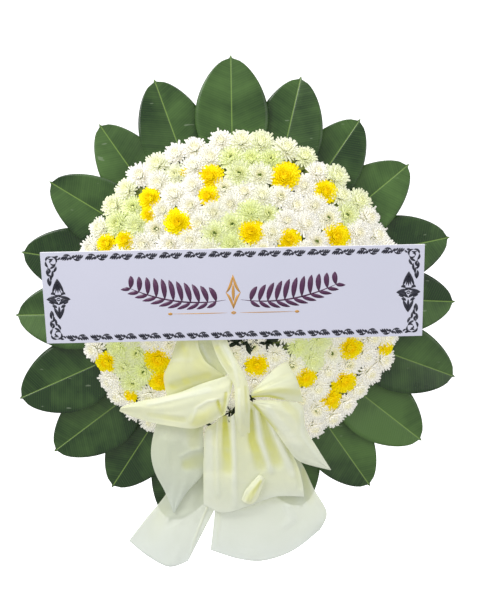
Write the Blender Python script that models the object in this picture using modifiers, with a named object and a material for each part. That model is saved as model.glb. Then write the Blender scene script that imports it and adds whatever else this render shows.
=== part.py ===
"""Memorial wreath: a domed bed of white and yellow chrysanthemums on a round board, ringed by rubber-plant
leaves, with a blank-faced sign board across it and a wide ribbon bow hanging over its lower half.

Metres, +Z up. The wreath hangs upright and faces -Y. The origin is the centre of the board's rear face.
"""

from math import cos, pi, radians, sin, sqrt

import bmesh
import bpy
from mathutils import Matrix, Vector

# ---- driving dimensions ------------------------------------------------------------------------------

GAP = 0.0003  # clearance between pieces that touch

BOARD_RADIUS = 0.270
BOARD_THICK = 0.008

FOAM_RADIUS = 0.270
FOAM_BACK = -0.038
FOAM_EDGE = -0.060  # front of the foam at its rim
FOAM_CROWN = 0.040  # extra depth at its centre

BED_RADIUS = 0.328  # outline of the white flowers
BED_EDGE = -0.055
BED_CROWN = 0.075
BED_TUCK = -0.045  # rear of the flowers that reach past the foam

LEAF_LENGTH = 0.245
LEAF_THICK = 0.0012
LEAF_PLANE = -0.022  # depth of the midribs
LEAF_ROLL = 8.0  # degrees each leaf turns about its midrib, so that the ring lies like shingles
LEAF_FOLD = 0.05  # rise of each half above the midrib, per metre of width
LEAF_STALK = 0.004
LEAF_POINT = 0.001
LEAF_SHOULDER = 0.75  # below 1 gives full shoulders and an abrupt tip

SIGN_WIDTH = 0.731
SIGN_HEIGHT = 0.182
SIGN_THICK = 0.005
SIGN_CENTRE = (-0.009, -0.174, 0.012)
SIGN_LEAN = 12.0  # degrees, top edge forward
SIGN_ROLL = 1.25  # degrees, right end up

STAKE_RADIUS = 0.002
STAKE_SPREAD = 0.200
STAKE_LENGTH = 0.112

PICK_PLACE = (0.006, -0.212)
PICK_FRONT = -0.132
PICK_REAR = -0.064

LOOP_THICK = 0.004
TAIL_THICK = 0.002

WIRE_RADIUS = 0.0015
WIRE_HALF_SPAN = 0.022
WIRE_FOOT = 0.250
WIRE_SHOULDER = 0.296

# ---- hand-chosen places ------------------------------------------------------------------------------

# Each leaf: tip x, tip z, midrib angle clockwise from up, half width, depth offset, roll (-1, 0 or 1).
# The top leaf lies over both its neighbours, and down each side every leaf lies over the next one.
LEAVES = [
    (-0.015, 0.491, -1.0, 0.075, -0.004, 0),
    (0.129, 0.449, 13.0, 0.070, 0.0, 1),
    (0.251, 0.363, 34.0, 0.067, 0.0, 1),
    (0.352, 0.271, 50.0, 0.068, 0.0, 1),
    (0.438, 0.121, 78.0, 0.070, 0.0, 1),
    (0.451, -0.013, 92.0, 0.070, 0.0, 1),
    (0.453, -0.170, 110.0, 0.072, 0.0, 1),
    (0.385, -0.305, 128.0, 0.072, 0.0, 1),
    (0.278, -0.402, 145.0, 0.070, 0.0, 1),
    (0.135, -0.448, 163.0, 0.072, 0.0, 1),
    (0.000, -0.452, 180.0, 0.070, 0.005, 0),
    (-0.145, -0.478, 197.0, 0.072, 0.0, -1),
    (-0.266, -0.405, 213.0, 0.070, 0.0, -1),
    (-0.386, -0.328, 233.0, 0.072, 0.0, -1),
    (-0.457, -0.216, 246.0, 0.074, 0.0, -1),
    (-0.463, -0.041, 269.0, 0.072, 0.0, -1),
    (-0.449, 0.090, 279.0, 0.070, 0.0, -1),
    (-0.388, 0.235, 301.0, 0.068, -0.005, 0),
    (-0.286, 0.353, 325.0, 0.064, 0.005, 0),
    (-0.172, 0.443, 340.0, 0.070, 0.0, -1),
]

# Each yellow head: x, z and radius on the dome.
YELLOW_HEADS = [
    (-0.180, 0.201, 0.019),
    (-0.182, 0.168, 0.013),
    (-0.057, 0.246, 0.021),
    (-0.061, 0.205, 0.018),
    (-0.120, 0.152, 0.023),
    (-0.270, 0.109, 0.019),
    (-0.230, 0.116, 0.019),
    (0.094, 0.247, 0.025),
    (0.026, 0.134, 0.022),
    (0.178, 0.215, 0.021),
    (0.104, 0.118, 0.020),
    (0.199, 0.124, 0.024),
    (-0.273, -0.137, 0.020),
    (-0.163, -0.127, 0.024),
    (-0.160, -0.170, 0.018),
    (0.039, -0.136, 0.020),
    (0.138, -0.162, 0.018),
    (0.231, -0.104, 0.022),
    (0.306, -0.107, 0.015),
    (0.219, -0.173, 0.022),
    (0.193, -0.212, 0.020),
    (-0.223, -0.205, 0.013),
]

# Ribbon pieces: thickness, droop of the last hem, and rows of (left x, z, depth, right x, z, depth) along it.
RIBBONS = {
    "bow_loop_upper_left": (
        LOOP_THICK,
        0.0,
        [
            (-0.118, -0.060, -0.137, -0.056, -0.060, -0.137),
            (-0.128, -0.092, -0.134, -0.050, -0.088, -0.137),
            (-0.146, -0.140, -0.122, -0.036, -0.126, -0.132),
            (-0.142, -0.185, -0.111, -0.028, -0.150, -0.123),
        ],
    ),
    "bow_loop_left": (
        LOOP_THICK,
        0.0,
        [
            (-0.006, -0.148, -0.132, -0.026, -0.232, -0.130),
            (-0.060, -0.165, -0.130, -0.062, -0.256, -0.120),
            (-0.120, -0.184, -0.122, -0.122, -0.264, -0.106),
            (-0.180, -0.204, -0.106, -0.182, -0.248, -0.094),
            (-0.238, -0.222, -0.084, -0.239, -0.226, -0.083),
        ],
    ),
    "bow_loop_right": (
        LOOP_THICK,
        0.0,
        [
            (0.026, -0.190, -0.131, 0.030, -0.202, -0.130),
            (0.060, -0.160, -0.125, 0.082, -0.205, -0.120),
            (0.098, -0.130, -0.120, 0.134, -0.207, -0.105),
        ],
    ),
    "bow_centre_band": (
        TAIL_THICK,
        0.0,
        [
            (-0.056, -0.060, -0.1435, -0.020, -0.060, -0.1435),
            (-0.050, -0.092, -0.1435, -0.018, -0.092, -0.1435),
            (-0.020, -0.142, -0.144, 0.012, -0.140, -0.144),
            (-0.003, -0.196, -0.140, 0.021, -0.194, -0.142),
            (-0.004, -0.218, -0.138, 0.026, -0.218, -0.138),
            (-0.002, -0.262, -0.126, 0.026, -0.258, -0.126),
        ],
    ),
    "bow_tail_right": (
        TAIL_THICK,
        0.0,
        [
            (0.029, -0.209, -0.128, 0.027, -0.216, -0.128),
            (0.082, -0.213, -0.118, 0.062, -0.256, -0.120),
            (0.137, -0.217, -0.104, 0.096, -0.298, -0.110),
            (0.148, -0.296, -0.094, 0.128, -0.336, -0.096),
            (0.188, -0.353, -0.088, 0.186, -0.355, -0.088),
        ],
    ),
    "bow_tail_centre_front": (
        TAIL_THICK,
        0.006,
        [
            (-0.030, -0.238, -0.112, 0.048, -0.238, -0.114),
            (-0.067, -0.276, -0.103, 0.076, -0.276, -0.104),
            (-0.068, -0.346, -0.092, 0.126, -0.336, -0.086),
            (-0.069, -0.426, -0.086, 0.150, -0.392, -0.081),
        ],
    ),
    "bow_tail_centre_back": (
        TAIL_THICK,
        0.028,
        [
            (-0.036, -0.262, -0.090, 0.060, -0.262, -0.090),
            (-0.050, -0.330, -0.079, 0.122, -0.325, -0.075),
            (-0.050, -0.424, -0.074, 0.178, -0.424, -0.070),
            (-0.053, -0.514, -0.070, 0.142, -0.498, -0.067),
        ],
    ),
    "bow_tail_left": (
        TAIL_THICK,
        0.0,
        [
            (-0.170, -0.268, -0.078, -0.072, -0.262, -0.094),
            (-0.178, -0.322, -0.075, -0.072, -0.312, -0.090),
            (-0.166, -0.370, -0.074, -0.074, -0.364, -0.084),
            (-0.148, -0.408, -0.073, -0.106, -0.404, -0.077),
            (-0.132, -0.439, -0.073, -0.129, -0.439, -0.073),
        ],
    ),
    "bow_tail_lower_left": (
        TAIL_THICK,
        0.024,
        [
            (-0.112, -0.346, -0.058, -0.030, -0.354, -0.062),
            (-0.150, -0.408, -0.059, -0.044, -0.418, -0.064),
            (-0.187, -0.456, -0.060, -0.068, -0.474, -0.064),
            (-0.222, -0.500, -0.061, -0.099, -0.532, -0.064),
        ],
    ),
}

# ---- scene and helpers -------------------------------------------------------------------------------

for old in list(bpy.data.objects):
    bpy.data.objects.remove(old, do_unlink=True)

parts = bpy.data.collections.new("memorial_wreath")
cutters = bpy.data.collections.new("cutters")
cutters.hide_render = True
for collection in (parts, cutters):
    bpy.context.scene.collection.children.link(collection)


def material(name, colour, roughness, metallic=0.0):
    """A Principled material in one plain finish."""
    made = bpy.data.materials.new(name)
    made.use_nodes = True
    shader = made.node_tree.nodes["Principled BSDF"]
    shader.inputs["Base Color"].default_value = (*colour, 1.0)
    shader.inputs["Roughness"].default_value = roughness
    shader.inputs["Metallic"].default_value = metallic
    return made


def add(name, mesh, finish):
    """A part from a mesh, in the wreath's collection."""
    obj = bpy.data.objects.new(name, mesh)
    obj.data.materials.append(finish)
    parts.objects.link(obj)
    return obj


def mesh_from(bm, name):
    """Turns a bmesh into a mesh with its faces pointing out."""
    bmesh.ops.recalc_face_normals(bm, faces=bm.faces)
    mesh = bpy.data.meshes.new(name)
    bm.to_mesh(mesh)
    bm.free()
    return mesh


def solid(name, bm, finish):
    obj = add(name, mesh_from(bm, name), finish)
    obj.data.shade_smooth()
    return obj


def cutter(name, bm):
    """A mesh that only cuts its neighbours."""
    obj = bpy.data.objects.new(name, mesh_from(bm, name))
    obj.hide_render = True
    obj.display_type = "WIRE"
    cutters.objects.link(obj)
    return obj


def cut(obj, tool):
    boolean = obj.modifiers.new("cut " + tool.name, "BOOLEAN")
    boolean.operation = "DIFFERENCE"
    boolean.solver = "EXACT"
    boolean.object = tool


def rod(start, end, radius, sides=12):
    """A capped cylinder between two points."""
    bm = bmesh.new()
    axis = Vector(end) - Vector(start)
    bmesh.ops.create_cone(
        bm, cap_ends=True, segments=sides, radius1=radius, radius2=radius, depth=axis.length
    )
    turn = axis.to_track_quat("Z", "Y").to_matrix().to_4x4()
    place = Matrix.Translation((Vector(start) + Vector(end)) / 2) @ turn
    bmesh.ops.transform(bm, matrix=place, verts=bm.verts)
    return bm


def turned(profile, sides):
    """Revolves a closed (radius, y) profile round the Y axis."""
    bm = bmesh.new()
    ring = [bm.verts.new((radius, y, 0.0)) for radius, y in profile]
    edges = [bm.edges.new(pair) for pair in zip(ring, ring[1:])]
    bmesh.ops.spin(
        bm, geom=ring + edges, axis=(0, 1, 0), cent=(0, 0, 0), steps=sides, angle=2 * pi
    )
    bmesh.ops.remove_doubles(bm, verts=bm.verts, dist=1e-5)
    return bm


def sheet(name, columns, rows, place, thickness, finish):
    """A grid bent by place(across -1..1, along 0..1) and given its thickness."""
    bm = bmesh.new()
    bmesh.ops.create_grid(bm, x_segments=columns, y_segments=rows, size=0.5)
    for vert in bm.verts:
        vert.co = place(2 * vert.co.x, vert.co.y + 0.5)
    obj = add(name, mesh_from(bm, name), finish)
    wall = obj.modifiers.new("thickness", "SOLIDIFY")
    wall.thickness = thickness
    wall.offset = 0.0
    obj.data.shade_smooth()
    return obj


def dome(radius):
    """Depth of the flower bed's surface at a distance from the centre."""
    return -(abs(BED_EDGE) + BED_CROWN * (1 - (radius / BED_RADIUS) ** 2))


def foam_front(radius):
    return -(abs(FOAM_EDGE) + FOAM_CROWN * (1 - (radius / FOAM_RADIUS) ** 2))


# ---- board and hanger --------------------------------------------------------------------------------


def build_board(finish):
    """A plywood disc with two holes in its top edge for the hanger's feet."""
    bm = bmesh.new()
    bmesh.ops.create_cone(
        bm, cap_ends=True, segments=48, radius1=BOARD_RADIUS, radius2=BOARD_RADIUS, depth=BOARD_THICK
    )
    turn = Matrix.Rotation(pi / 2, 4, "X")
    bmesh.ops.transform(bm, matrix=Matrix.Translation((0, -BOARD_THICK / 2, 0)) @ turn, verts=bm.verts)
    board = solid("back_board", bm, finish)
    for side in (-1, 1):
        low = (side * WIRE_HALF_SPAN, -BOARD_THICK / 2, WIRE_FOOT - GAP)
        high = (side * WIRE_HALF_SPAN, -BOARD_THICK / 2, BOARD_RADIUS + 0.01)
        cut(board, cutter("hanger_hole", rod(low, high, WIRE_RADIUS + GAP)))
    return board


def build_hanger(finish):
    """A wire arch that stands up from the board's top edge."""
    steps = 10
    arch = [
        (WIRE_HALF_SPAN * cos(pi * i / steps), WIRE_SHOULDER + WIRE_HALF_SPAN * sin(pi * i / steps))
        for i in range(steps + 1)
    ]
    route = [(WIRE_HALF_SPAN, WIRE_FOOT), *arch, (-WIRE_HALF_SPAN, WIRE_FOOT)]
    curve = bpy.data.curves.new("hanger_loop", "CURVE")
    curve.dimensions = "3D"
    curve.bevel_depth = WIRE_RADIUS
    curve.bevel_resolution = 2
    curve.use_fill_caps = True
    spline = curve.splines.new("POLY")
    spline.points.add(len(route) - 1)
    for point, (x, z) in zip(spline.points, route):
        point.co = (x, -BOARD_THICK / 2, z, 1.0)
    return add("hanger_loop", curve, finish)


# ---- leaves ------------------------------------------------------------------------------------------


def leaf_half_width(along, half_width):
    """Half width of the blade, from the stalk at 0 to the tip at 1."""
    swell = max(sin(pi * along), 0.0) ** LEAF_SHOULDER
    ends = LEAF_STALK + (LEAF_POINT - LEAF_STALK) * along
    return ends + (half_width - ends) * swell


def build_leaf(number, tip_x, tip_z, angle, half_width, offset, roll, finish):
    turn = radians(angle)
    along_rib = Vector((sin(turn), 0, cos(turn)))
    across_rib = Vector((cos(turn), 0, -sin(turn)))
    tip = Vector((tip_x, LEAF_PLANE + offset, tip_z))
    tilt = sin(radians(LEAF_ROLL)) * roll

    def place(across, along):
        reach = across * leaf_half_width(along, half_width)
        rise = reach * tilt + abs(reach) * LEAF_FOLD
        return tip - along_rib * LEAF_LENGTH * (1 - along) + across_rib * reach + Vector((0, -rise, 0))

    return sheet(f"leaf_{number:02d}", 4, 10, place, LEAF_THICK, finish)


# ---- flowers -----------------------------------------------------------------------------------------


def flattened_ball(x, z, radius, extra):
    """A yellow head: a low ball set square to the dome, a little proud of it."""
    out = sqrt(x * x + z * z)
    slope = 2 * BED_CROWN * out / BED_RADIUS**2
    lean = Vector((x / out * slope, -1.0, z / out * slope)).normalized()
    centre = Vector((x, dome(out), z)) - lean * 0.1 * radius
    bm = bmesh.new()
    bmesh.ops.create_uvsphere(bm, u_segments=10, v_segments=6, radius=1.0)
    size = Matrix.Diagonal((radius + extra, radius + extra, 0.55 * radius + extra, 1.0))
    turn = lean.to_track_quat("Z", "X").to_matrix().to_4x4()
    bmesh.ops.transform(bm, matrix=Matrix.Translation(centre) @ turn @ size, verts=bm.verts)
    return bm


def build_foam(finish):
    steps = 6
    front = [
        (FOAM_RADIUS * i / steps, foam_front(FOAM_RADIUS * i / steps)) for i in range(steps + 1)
    ]
    return solid("floral_foam", turned([*front, (FOAM_RADIUS, FOAM_BACK), (0.0, FOAM_BACK)], 32), finish)


def build_bed(name, keep_upper, finish):
    """One half of the white flowers: a domed layer in front of the foam that hangs over its rim."""
    steps = 7
    front = [
        (BED_RADIUS * i / steps, dome(BED_RADIUS * i / steps)) for i in range(steps + 1)
    ]
    inner = [
        (FOAM_RADIUS * i / 4, foam_front(FOAM_RADIUS * i / 4) - 4 * GAP) for i in range(4, -1, -1)
    ]
    rim = [(BED_RADIUS - 0.012, BED_TUCK), (FOAM_RADIUS + 4 * GAP, BED_TUCK)]
    bed = solid(name, turned([*front, *rim, *inner], 32), finish)
    side = -1 if keep_upper else 1
    bm = bmesh.new()
    bmesh.ops.create_cube(bm, size=1.0)
    place = Matrix.Translation((0, -0.1, side * (0.5 - GAP / 2)))
    bmesh.ops.transform(bm, matrix=place, verts=bm.verts)
    cut(bed, cutter(name + "_other_half", bm))
    return bed


# ---- sign, stakes and pick ---------------------------------------------------------------------------


def sign_place():
    """The sign's own frame: x along it, y through it from front to back, z up it."""
    lean = Matrix.Rotation(radians(SIGN_LEAN), 4, "X")
    roll = Matrix.Rotation(radians(-SIGN_ROLL), 4, "Y")
    return Matrix.Translation(SIGN_CENTRE) @ lean @ roll


def build_sign(finish):
    bm = bmesh.new()
    bmesh.ops.create_cube(bm, size=1.0)
    size = Matrix.Diagonal((SIGN_WIDTH, SIGN_THICK, SIGN_HEIGHT, 1.0))
    bmesh.ops.transform(bm, matrix=sign_place() @ size, verts=bm.verts)
    return add("sign_board", mesh_from(bm, "sign_board"), finish)


def stake_ends(side):
    rear = SIGN_THICK / 2 + GAP
    start = sign_place() @ Vector((side * STAKE_SPREAD, rear, 0))
    end = sign_place() @ Vector((side * STAKE_SPREAD, rear + STAKE_LENGTH, 0))
    return start, end


# ---- bow ---------------------------------------------------------------------------------------------


def spline_row(rows, along):
    """A Catmull-Rom curve through the rows, read at 0..1."""
    where = min(along, 0.99999) * (len(rows) - 1)
    first = int(where)
    t = where - first
    p = [rows[min(max(first + k, 0), len(rows) - 1)] for k in (-1, 0, 1, 2)]
    return [
        0.5 * (2 * b + (c - a) * t + (2 * a - 5 * b + 4 * c - d) * t * t + (3 * b - a - 3 * c + d) * t**3)
        for a, b, c, d in zip(*p)
    ]


def build_ribbon(name, thickness, droop, rows, finish):
    def place(across, along):
        lx, lz, ly, rx, rz, ry = spline_row(rows, along)
        right = (across + 1) / 2
        sag = droop * (1 - across * across) * along**3
        return Vector((lx + (rx - lx) * right, ly + (ry - ly) * right, lz + (rz - lz) * right - sag))

    return sheet(name, 4, 3 * (len(rows) - 1), place, thickness, finish)


# ---- assembly ----------------------------------------------------------------------------------------

plywood = material("plywood", (0.42, 0.29, 0.16), 0.7)
wire = material("galvanised wire", (0.55, 0.56, 0.57), 0.35, 1.0)
foam = material("floral foam", (0.06, 0.16, 0.06), 0.95)
leaf_green = material("leaf", (0.07, 0.13, 0.04), 0.35)
white_petals = material("white petals", (0.80, 0.82, 0.68), 0.7)
yellow_petals = material("yellow petals", (0.85, 0.60, 0.01), 0.6)
foam_board = material("foam board", (0.68, 0.69, 0.80), 0.5)
bamboo = material("bamboo", (0.60, 0.45, 0.22), 0.6)
ribbon = material("ribbon", (0.76, 0.76, 0.47), 0.7)

build_board(plywood)
build_hanger(wire)

for number, leaf in enumerate(LEAVES, start=1):
    build_leaf(number, *leaf, leaf_green)

floral_foam = build_foam(foam)
beds = {
    True: build_bed("white_flowers_upper", True, white_petals),
    False: build_bed("white_flowers_lower", False, white_petals),
}
for number, (x, z, radius) in enumerate(YELLOW_HEADS, start=1):
    solid(f"yellow_head_{number:02d}", flattened_ball(x, z, radius, 0.0), yellow_petals)
    cut(beds[z > 0], cutter(f"pocket_{number:02d}", flattened_ball(x, z, radius, 0.001)))

build_sign(foam_board)
for side, label in ((-1, "left"), (1, "right")):
    start, end = stake_ends(side)
    solid(f"sign_stake_{label}", rod(start, end, STAKE_RADIUS), bamboo)
    hole = cutter(f"stake_hole_{label}", rod(start, end + (end - start) * 0.01, STAKE_RADIUS + GAP))
    cut(floral_foam, hole)
    cut(beds[True], hole)

pick_front = Vector((PICK_PLACE[0], PICK_FRONT, PICK_PLACE[1]))
pick_rear = Vector((PICK_PLACE[0], PICK_REAR, PICK_PLACE[1]))
solid("bow_pick", rod(pick_front, pick_rear, STAKE_RADIUS), bamboo)
pick_hole = cutter("pick_hole", rod(pick_front, pick_rear + Vector((0, GAP, 0)), STAKE_RADIUS + GAP))
cut(floral_foam, pick_hole)
cut(beds[False], pick_hole)

for name, (thickness, droop, rows) in RIBBONS.items():
    build_ribbon(name, thickness, droop, rows, ribbon)
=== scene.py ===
# %% [markdown]
# # A memorial wreath
# A round funeral wreath: a dome of white and yellow chrysanthemums on floral foam, a ring of rubber-plant
# leaves behind it, a printed sign board across it and a wide ribbon bow in front of the lower half.
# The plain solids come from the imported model. This lesson adds the leaves, petals, print and cloth around
# them, and gives every surface its material. Lengths are in metres, +Z is up and the front faces -Y.

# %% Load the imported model
from math import cos, pi, radians, sin, sqrt

import bmesh
import bpy
import numpy as np
from mathutils import Euler, Matrix, Vector


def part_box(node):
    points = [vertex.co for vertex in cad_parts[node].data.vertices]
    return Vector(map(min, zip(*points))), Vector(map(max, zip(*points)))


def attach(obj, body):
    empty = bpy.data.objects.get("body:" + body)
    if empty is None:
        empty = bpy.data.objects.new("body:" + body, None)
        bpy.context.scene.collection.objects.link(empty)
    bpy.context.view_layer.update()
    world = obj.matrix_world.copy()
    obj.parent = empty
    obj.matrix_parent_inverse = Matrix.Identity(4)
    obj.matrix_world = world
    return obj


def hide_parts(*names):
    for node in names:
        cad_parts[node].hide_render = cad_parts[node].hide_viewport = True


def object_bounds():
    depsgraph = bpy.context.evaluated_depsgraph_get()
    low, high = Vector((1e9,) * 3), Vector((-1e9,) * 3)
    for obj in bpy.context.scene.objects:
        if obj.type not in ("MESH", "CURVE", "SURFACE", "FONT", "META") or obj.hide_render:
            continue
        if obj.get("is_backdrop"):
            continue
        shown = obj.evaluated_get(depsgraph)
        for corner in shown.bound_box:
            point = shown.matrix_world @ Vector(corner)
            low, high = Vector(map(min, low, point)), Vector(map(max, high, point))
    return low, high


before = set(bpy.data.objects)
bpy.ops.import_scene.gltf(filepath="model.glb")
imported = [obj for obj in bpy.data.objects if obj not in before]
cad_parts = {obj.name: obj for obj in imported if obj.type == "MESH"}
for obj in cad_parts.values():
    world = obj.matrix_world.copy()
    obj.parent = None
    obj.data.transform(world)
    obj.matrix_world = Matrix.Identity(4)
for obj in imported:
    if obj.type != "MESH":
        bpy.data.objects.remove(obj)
cad_low, cad_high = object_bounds()
BODY = "root"
MM = 0.001
print("solids in the frame:", len(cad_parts))

# %% [markdown]
# ## Small helpers
# Colours are written as the sRGB hex values that a painter would pick, and one function turns them into the
# linear numbers that the renderer wants. One more function adds a node to any tree, with its settings and its
# links, so that a whole material or Geometry Nodes tree reads as a list of steps.


# %% Helpers for colours, nodes and pieces
def linear(hex_colour):
    """An sRGB hex value as linear RGBA."""
    parts = [int(hex_colour[i : i + 2], 16) / 255 for i in (1, 3, 5)]
    return (*[c / 12.92 if c <= 0.04045 else ((c + 0.055) / 1.055) ** 2.4 for c in parts], 1.0)


def add(tree, kind, inputs=None, **settings):
    """A node with its settings, and its inputs set or linked by name or number."""
    made = tree.nodes.new(kind)
    for name, value in settings.items():
        setattr(made, name, value)
    for key, value in (inputs or {}).items():
        if isinstance(key, int):
            socket = made.inputs[key]
        else:
            socket = next(s for s in made.inputs if s.name == key and s.enabled)
        if isinstance(value, bpy.types.NodeSocket):
            tree.links.new(value, socket)
        else:
            socket.default_value = value
    return made


def new_material(name):
    """An empty material: its tree, and the function that joins a Principled shader to the output."""
    made = bpy.data.materials.new(name)
    made.use_nodes = True
    tree = made.node_tree
    tree.nodes.clear()

    def surface(**inputs):
        shader = add(tree, "ShaderNodeBsdfPrincipled", {k.replace("_", " "): v for k, v in inputs.items()})
        add(tree, "ShaderNodeOutputMaterial", {"Surface": shader.outputs[0]})
        return made

    return tree, surface


def object_from(bm, name, *materials):
    """A mesh object from a bmesh, smooth, with its faces pointing out."""
    mesh = bpy.data.meshes.new(name)
    bm.to_mesh(mesh)
    bm.free()
    for finish in materials:
        mesh.materials.append(finish)
    made = bpy.data.objects.new(name, mesh)
    bpy.context.scene.collection.objects.link(made)
    mesh.shade_smooth()
    return made


def piece(obj, slot, *nodes):
    """The object is parented to the wreath's body, and the CAD nodes named, which it stands in for, are
    hidden.
    """
    if nodes:
        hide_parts(*nodes)
    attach(obj, BODY)
    return obj


def triangles(obj):
    mesh = obj.evaluated_get(bpy.context.evaluated_depsgraph_get()).data
    return sum(len(p.vertices) - 2 for p in mesh.polygons)


# %% [markdown]
# ## Camera, floor and light
# The wreath hangs, so nothing stands under it: a pale round floor lies a little below and runs up into a pale
# wall on every side. The camera looks almost straight at it from a little above. A soft light from the upper
# left and a weaker one from the right keep the petals bright and let the leaves shine in broad, soft patches.

# %% Camera
VIEW_DISTANCE = 2.0
VIEW_PLANE = -0.10  # depth of the flowers, where the picture is VIEW_HEIGHT tall
VIEW_HEIGHT = 1.20
VIEW_RISE = radians(4.0)
VIEW_CENTRE = Vector((0.004, VIEW_PLANE, -0.004))
FULL_SENSOR = 36.0

camera_data = bpy.data.cameras.new("camera")
camera = bpy.data.objects.new("camera", camera_data)
bpy.context.scene.collection.objects.link(camera)
camera.location = VIEW_CENTRE + VIEW_DISTANCE * Vector((0, -cos(VIEW_RISE), sin(VIEW_RISE)))
camera.rotation_euler = (pi / 2 - VIEW_RISE, 0, 0)
camera_data.sensor_width = FULL_SENSOR
camera_data.lens = FULL_SENSOR * VIEW_DISTANCE / VIEW_HEIGHT
bpy.context.scene.camera = camera
print("lens in mm:", round(camera_data.lens, 1))

# %% Floor, wall and lights
FLOOR_DROP = 0.35
WALL_RADIUS = 6.0
WALL_TOP = 8.0
SWEEP = 0.8
SWEEP_STEPS = 8
ROUND = 64  # sides of the round wall

backdrop_tree, backdrop_surface = new_material("matt_white_card")
backdrop_speckle = add(
    backdrop_tree,
    "ShaderNodeTexNoise",
    {"Vector": add(backdrop_tree, "ShaderNodeTexCoord").outputs["Object"], "Scale": 3.0},
).outputs[0]
backdrop_white = add(
    backdrop_tree,
    "ShaderNodeMix",
    {"Factor": backdrop_speckle, "A": linear("#fbfbfb"), "B": linear("#fdfdfd")},
    data_type="RGBA",
).outputs[2]
backdrop = backdrop_surface(
    Base_Color=backdrop_white,
    Roughness=0.95,
    Emission_Color=linear("#ffffff"),
    Emission_Strength=0.7,
)
floor_z = cad_low.z - FLOOR_DROP
outline = [(WALL_RADIUS, floor_z)]
for a in np.linspace(0, pi / 2, SWEEP_STEPS + 1)[1:]:
    outline.append((WALL_RADIUS + SWEEP * sin(a), floor_z + SWEEP * (1 - cos(a))))
outline.append((WALL_RADIUS + SWEEP, WALL_TOP))
bm = bmesh.new()
turns = np.linspace(0, 2 * pi, ROUND, endpoint=False)
rows = [[bm.verts.new((r * cos(a), r * sin(a), z)) for a in turns] for r, z in outline]
bm.faces.new(rows[0])
for low, high in zip(rows, rows[1:]):
    for k in range(ROUND):
        n = (k + 1) % ROUND
        bm.faces.new((low[n], low[k], high[k], high[n]))
stage = object_from(bm, "floor_and_wall", backdrop)
# the card is seen, but none of its own glow reaches the wreath, which would wash out the shadows
stage.visible_diffuse = False
stage.visible_glossy = False
stage.visible_shadow = False
stage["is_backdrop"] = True

LIGHTS = [  # name, place, size, watts
    ("window_left", (-2.0, -1.8, 2.1), 1.6, 62),
    ("window_right", (2.2, -2.0, 0.9), 2.0, 14),
    ("ceiling", (0.0, -0.4, 2.6), 2.4, 22),
]
for name, place, size, watts in LIGHTS:
    lamp = bpy.data.lights.new(name, "AREA")
    lamp.size = size
    lamp.energy = watts
    holder = bpy.data.objects.new(name, lamp)
    holder.location = place
    holder.rotation_euler = (Vector((0, 0, 0)) - Vector(place)).to_track_quat("-Z", "Y").to_euler()
    bpy.context.scene.collection.objects.link(holder)

world = bpy.data.worlds.new("soft_white")
world.use_nodes = True
world.node_tree.nodes["Background"].inputs["Color"].default_value = linear("#fdfdff")
world.node_tree.nodes["Background"].inputs["Strength"].default_value = 0.66
bpy.context.scene.world = world
bpy.context.scene.view_settings.view_transform = "Standard"
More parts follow.
